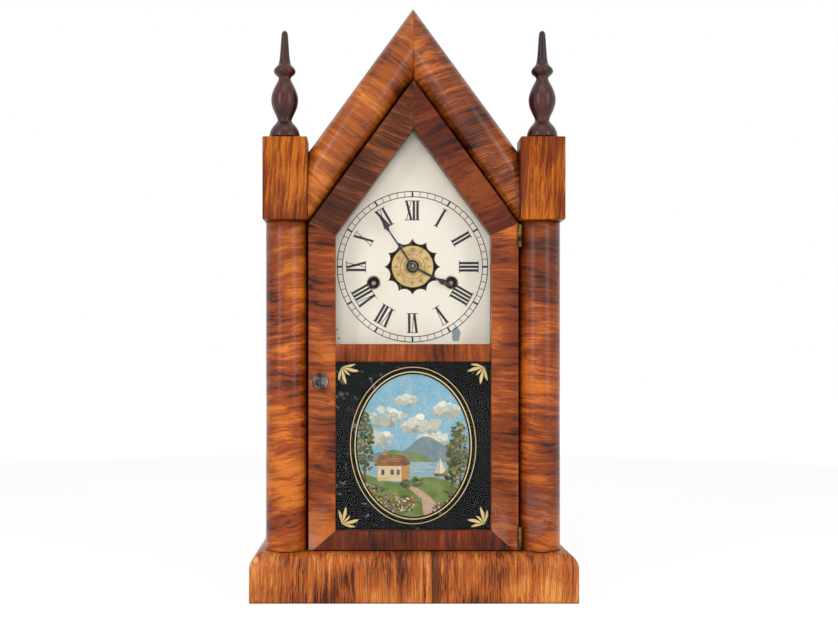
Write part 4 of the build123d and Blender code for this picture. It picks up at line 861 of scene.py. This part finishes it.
tablet = {
    "oval": (47.5, 60.5), "lines": ((49.3, 62.4, 0.9), (53.2, 66.4, 0.55)), "lineSteps": 120,
    "lineOverlap": 0.002, "sprig": (60.5, 66.5), "margin": 0.2, "seed": 11,
    "layer": 0.06, "sheet": 0.03, "goldBehind": 0.08, "groundBehind": 0.15, "pictureBehind": 0.22,
    "gold": (236, 208, 142), "skyBlue": (140, 192, 214), "hill": (118, 142, 150), "roofSide": (112, 66, 34),
    "clouds": ((228, 228, 206), (240, 238, 222), (214, 220, 208)), "window": (70, 62, 54),
    "glints": ((206, 220, 220), (112, 150, 168), (178, 204, 208)), "hull": (120, 62, 36),
    "sails": ((240, 232, 210), (222, 206, 170)),
    "nearHill": (112, 134, 78), "water": (150, 184, 196), "meadow": (104, 128, 44), "path": (206, 166, 140),
    "wall": (196, 140, 72), "wallLight": (232, 206, 160), "roof": (142, 84, 42), "trunk": (84, 58, 34),
    "leaves": ((36, 66, 28), (82, 104, 34), (156, 144, 40), (20, 48, 32), (58, 90, 42)),
    "flowers": ((176, 38, 32), (226, 196, 60), (70, 122, 190), (232, 230, 222), (196, 60, 44)),
}


def makeTablet():
    low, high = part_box("lower_glass")
    middle = (low + high) / 2
    rng = random.Random(tablet["seed"])
    mesh = bmesh.new()
    layer = mesh.loops.layers.float_color.new("paint")

    def spot(x, z):
        return (middle.x + x * mm, middle.z + z * mm)

    def shape(points, depth, colour):
        front = high.y + (tablet["pictureBehind"] + depth * tablet["layer"]) * mm
        addPrism(mesh, [spot(x, z) for x, z in points], front, front + tablet["sheet"] * mm, layer, paint(*colour))

    def dab(x, z, wide, tall, depth, colour, sides=7):
        start = rng.uniform(0, math.tau)
        points = []
        for n in range(sides):
            turn = start + math.tau * n / sides
            reach = rng.uniform(0.75, 1.1)
            points.append((x + wide * reach * math.cos(turn), z + tall * reach * math.sin(turn)))
        shape(points, depth, colour)

    def cluster(x, z, wide, tall, count, size, depths, colours):
        # many dabs inside an oval, the lower ones darker
        for n in range(count):
            turn, reach = rng.uniform(0, math.tau), math.sqrt(rng.random())
            dx, dz = wide * reach * math.cos(turn), tall * reach * math.sin(turn)
            colour = rng.choice(colours)
            shade = 0.75 + 0.3 * (dz / tall + 1) / 2 + rng.uniform(-0.06, 0.06)
            colour = tuple(min(255, part * shade) for part in colour)
            grow = rng.uniform(0.6, 1.25) * size
            dab(x + dx, z + dz, grow, grow * 0.8, rng.uniform(*depths), colour)

    def land(height, depth, colour, bottom=-66):
        # a rolling stretch of land whose edge follows height(x)
        edge = [(x, height(x)) for x in range(-52, 53, 4)]
        shape([(-52, bottom)] + edge + [(52, bottom)], depth, colour)

    shape([(-52, -66), (52, -66), (52, 66), (-52, 66)], 14, tablet["skyBlue"])
    for x, z, wide in ((-22, 24, 17), (8, 17, 19), (27, 30, 13), (-33, 6, 15), (20, 2, 20), (-6, 38, 9)):
        cluster(x, z, wide, wide * 0.42, 34, 3.6, (12.2, 13.2), tablet["clouds"])
    land(lambda x: -2 + 7 * math.sin(x / 15 + 0.6) + 3 * math.sin(x / 6), 11.4, tablet["hill"])
    land(lambda x: -9 + 5 * math.sin(x / 12 + 2.4) + 1.5 * math.sin(x / 4), 10.6, tablet["nearHill"])
    shape([(-52, -14), (52, -14), (52, -36), (-52, -36)], 10, tablet["water"])
    for n in range(46):
        dab(rng.uniform(-34, 40), rng.uniform(-33, -16), rng.uniform(2, 6), 0.35, rng.uniform(9.2, 9.8),
            rng.choice(tablet["glints"]), 8)
    land(lambda x: -29 + 3 * math.sin(x / 10) - x * 0.05, 8.8, tablet["meadow"])
    bends = [(10, -66), (34, -66), (15, -44), (5, -37), (-4, -31.5), (-8, -32), (-2, -38), (7, -45)]
    shape(bends, 8.2, tablet["path"])

    # cottage by the water
    shape([(-30, -30), (-10, -30), (-10, -17), (-30, -17)], 7.8, tablet["wallLight"])
    shape([(-10, -30), (-3, -28), (-3, -16), (-10, -17)], 7.8, tablet["wall"])
    shape([(-32, -17.5), (-9.5, -17.5), (-13, -8), (-28, -8)], 7.4, tablet["roof"])
    shape([(-9.5, -17.5), (-2, -16), (-6.5, -9), (-13, -8)], 7.5, tablet["roofSide"])
    shape([(-25.5, -9), (-22.5, -9), (-22.5, -3.5), (-25.5, -3.5)], 7.6, tablet["wall"])
    for x in (-27, -19, -14):
        shape([(x, -25), (x + 2.6, -25), (x + 2.6, -20.5), (x, -20.5)], 7.2, tablet["window"])
    for x, z, wide in ((-26, -28, 12), (-19, -13, 16), (-16, -11, 14)):
        left, right = x - wide / 2, x + wide / 2
        shape([(left, z), (right, z), (right, z - 0.5), (left, z - 0.5)], 7.1, tablet["wall"])

    # small sailing boat
    shape([(17, -24), (29, -24), (27, -26.5), (19, -26.5)], 7.0, tablet["hull"])
    shape([(22.6, -23.6), (22.6, -10), (28.5, -23.6)], 7.0, tablet["sails"][0])
    shape([(22.0, -23.6), (22.0, -12), (17.6, -23.6)], 7.0, tablet["sails"][1])

    # trees on both sides, bushes and a flower bed
    for x, foot, top, wide in ((-41, -34, 22, 9), (40, -38, 14, 10), (33, -36, -4, 6)):
        shape([(x - 1.1, foot), (x + 1.1, foot), (x + 0.4, top), (x - 0.4, top)], 6.4, tablet["trunk"])
        for level in range(5):
            rise = foot + (top - foot) * (0.35 + 0.16 * level)
            spread = wide * (1.05 - 0.13 * level)
            cluster(x + rng.uniform(-2, 2), rise, spread, 6.5, 42, 1.7, (4.6, 6.2), tablet["leaves"])
    for x, z, wide in ((-36, -37, 11), (38, -40, 11), (3, -31, 5), (-6, -33, 4)):
        cluster(x, z, wide, 4.5, 60, 1.3, (3.4, 4.4), tablet["leaves"])
    cluster(-20, -50, 25, 8.5, 200, 1.5, (2.4, 3.2), tablet["leaves"])
    cluster(30, -54, 14, 7, 110, 1.4, (2.4, 3.2), tablet["leaves"])
    for x, z, wide, tall, count in ((-20, -49, 24, 8, 150), (30, -53, 13, 6, 70), (-36, -36, 9, 4, 20)):
        for n in range(count):
            turn, reach = rng.uniform(0, math.tau), math.sqrt(rng.random())
            size = rng.uniform(0.55, 1.05)
            dab(x + wide * reach * math.cos(turn), z + tall * reach * math.sin(turn), size, size,
                rng.uniform(1.4, 2.2), rng.choice(tablet["flowers"]), 6)
    finishPiece(mesh, "tabletPicture", "door", picturePaint)
    return middle, high.y


def ovalPoint(reach, turn, middle):
    return (middle.x + reach[0] * mm * math.sin(turn), middle.z + reach[1] * mm * math.cos(turn))


leafOutline = ((0, 0), (0.35, 0.09), (0.62, 0.13), (0.85, 0.07), (1, 0), (0.85, -0.05), (0.5, -0.06))


def makeTabletBorder(middle, glassBack):
    # the black ground round the oval
    low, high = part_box("lower_glass")
    steps = 96
    turns = [math.tau * n / steps for n in range(steps + 1)]
    halfWide, halfTall = ((side - 2 * tablet["margin"] * mm) / 2 for side in (high.x - low.x, high.z - low.z))

    def edgePoint(turn):
        x, z = math.sin(turn), math.cos(turn)
        grow = min(halfWide / max(abs(x), 1e-6), halfTall / max(abs(z), 1e-6))
        return (middle.x + x * grow, middle.z + z * grow)

    corners = [math.atan2(sx * halfWide, sz * halfTall) % math.tau for sx in (-1, 1) for sz in (-1, 1)]
    turns = sorted(set(turns) | set(corners))
    mesh = bmesh.new()
    rings = []
    for point in (lambda turn: ovalPoint(tablet["oval"], turn, middle), edgePoint):
        front = glassBack + tablet["groundBehind"] * mm
        rings.append([mesh.verts.new((x, front, z)) for x, z in map(point, turns[:-1])])
    for n in range(len(turns) - 1):
        after = (n + 1) % (len(turns) - 1)
        mesh.faces.new((rings[0][n], rings[1][n], rings[1][after], rings[0][after]))
    thicken(mesh, mesh.faces[:], tablet["sheet"] * mm)
    finishPiece(mesh, "tabletGround", "door", tabletGround)

    # gold lines and sprigs in front of the black
    gold = bmesh.new()
    layer = gold.loops.layers.float_color.new("paint")
    colour = paint(*tablet["gold"])
    front = glassBack + tablet["goldBehind"] * mm
    for wide, tall, width in tablet["lines"]:
        inner, outer = (wide - width / 2, tall - width / 2), (wide + width / 2, tall + width / 2)
        addLine(gold, lambda reach, turn: ovalPoint(reach, turn, middle), inner, outer, tablet["lineSteps"],
                tablet["lineOverlap"], front, front + tablet["sheet"] * mm, layer, colour)
    for sideX in (-1, 1):
        for sideZ in (-1, 1):
            root = (sideX * tablet["sprig"][0], sideZ * tablet["sprig"][1])
            for turn, length in ((-12, 12.0), (14, 15.0), (45, 10.0), (76, 15.0), (102, 12.0)):
                lean = math.radians(turn)
                ahead = (-sideX * math.cos(lean), -sideZ * math.sin(lean))
                aside = (ahead[1], -ahead[0])
                leaf = []
                for along, out in leafOutline:
                    leaf.append((middle.x + (root[0] + length * (along * ahead[0] + out * aside[0])) * mm,
                                 middle.z + (root[1] + length * (along * ahead[1] + out * aside[1])) * mm))
                addPrism(gold, leaf, front, front + tablet["sheet"] * mm, layer, colour)
    finishPiece(gold, "tabletGold", "door", makePicturePaint("goldLines", 0.35, 0.12))


tabletMiddle, glassBack = makeTablet()
makeTabletBorder(tabletMiddle, glassBack)
print("tablet painted")


# the nail head in the left column

nail = {"x": -106.7, "z": 305.7, "radius": 0.75, "length": 1.5, "sunk": 0.05}


def makeNail():
    low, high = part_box("left_column")
    mesh = bmesh.new()
    made = bmesh.ops.create_circle(mesh, cap_ends=True, segments=16, radius=nail["radius"] * mm)["verts"]
    bmesh.ops.rotate(mesh, verts=made, cent=(0, 0, 0), matrix=Matrix.Rotation(math.pi / 2, 3, "X"))
    bmesh.ops.translate(mesh, vec=(nail["x"] * mm, low.y + nail["sunk"] * mm, nail["z"] * mm), verts=made)
    thicken(mesh, mesh.faces[:], nail["length"] * mm)
    finishPiece(mesh, "columnNail", "case", metals["iron"])


makeNail()


# floor, light and camera

studio = {
    "cameraPlace": (-0.0332, -0.941, 0.1974), "lens": 46.0, "shift": (0.0537, 0.0526), "sensor": 36.0,
    "worldLight": 0.3, "floorGlow": 1.36, "floorShare": 0.6, "floorColour": (0.86, 0.86, 0.86, 1),
    "floorHalf": 6.0, "floorFade": (0.7, 2.0),
    "lamps": (
        ("leftSoftbox", (-1.05, -1.25, 0.75), (0.28, 1.3), 7.0),
        ("rightSoftbox", (1.1, -1.2, 0.7), (0.28, 1.3), 6.5),
        ("topSoftbox", (0.0, -0.9, 1.7), (1.2, 0.8), 4.0),
        ("frontSoftbox", (-0.15, -1.9, 0.5), (0.8, 0.7), 12.5),
    ),
    "aim": (0.0, 0.0, 0.24),
}


def seenPlain(tree):
    # 1 for what the camera sees, directly, in a mirror or through glass
    path = addNode(tree, "ShaderNodeLightPath").outputs
    mirrored = calc(tree, "MAXIMUM", path["Is Glossy Ray"], path["Is Transmission Ray"])
    return calc(tree, "MAXIMUM", path["Is Camera Ray"], mirrored)


def makeStudio():
    scene = bpy.context.scene
    world = scene.world or bpy.data.worlds.new("studio")
    scene.world = world
    world.use_nodes = True
    tree = world.node_tree
    tree.nodes.clear()
    strength = calc(tree, "MULTIPLY_ADD", seenPlain(tree), 1.0 - studio["worldLight"], studio["worldLight"])
    sky = addNode(tree, "ShaderNodeBackground", {"Color": (1, 1, 1, 1), "Strength": strength})
    tree.links.new(sky.outputs[0], addNode(tree, "ShaderNodeOutputWorld").inputs[0])

    mesh = bmesh.new()
    bmesh.ops.create_grid(mesh, x_segments=1, y_segments=1, size=studio["floorHalf"])
    data = bpy.data.meshes.new("floor")
    mesh.to_mesh(data)
    mesh.free()
    floor = bpy.data.objects.new("floor", data)
    scene.collection.objects.link(floor)
    material, tree, shader = newMaterial("floorPaint")
    setShader(shader, Base_Color=studio["floorColour"], Roughness=0.9)
    glow = addNode(tree, "ShaderNodeEmission", {"Color": (1, 1, 1, 1), "Strength": studio["floorGlow"]}).outputs[0]
    reach = vectorCalc(tree, "LENGTH", addNode(tree, "ShaderNodeTexCoord").outputs["Object"])
    share = calc(tree, "MAXIMUM", between(tree, reach, *studio["floorFade"]), studio["floorShare"])
    mixed = addNode(tree, "ShaderNodeMixShader", {0: times(tree, seenPlain(tree), share)})
    tree.links.new(shader.outputs[0], mixed.inputs[1])
    tree.links.new(glow, mixed.inputs[2])
    tree.links.new(mixed.outputs[0], tree.nodes["Material Output"].inputs[0])
    data.materials.append(material)

    for name, place, size, power in studio["lamps"]:
        light = bpy.data.lights.new(name, "AREA")
        light.shape = "RECTANGLE"
        light.size, light.size_y = size
        light.energy = power
        lamp = bpy.data.objects.new(name, light)
        lamp.location = place
        lamp.visible_glossy = name != "frontSoftbox"
        lamp.rotation_euler = (Vector(studio["aim"]) - Vector(place)).to_track_quat("-Z", "Y").to_euler()
        scene.collection.objects.link(lamp)

    optics = bpy.data.cameras.new("camera")
    optics.lens = studio["lens"]
    optics.sensor_width = studio["sensor"]
    optics.shift_x, optics.shift_y = studio["shift"]
    camera = bpy.data.objects.new("camera", optics)
    camera.location = studio["cameraPlace"]
    camera.rotation_euler = (math.pi / 2, 0, 0)
    scene.collection.objects.link(camera)
    scene.camera = camera
    scene.view_settings.view_transform = "Standard"


makeStudio()
print("studio set")
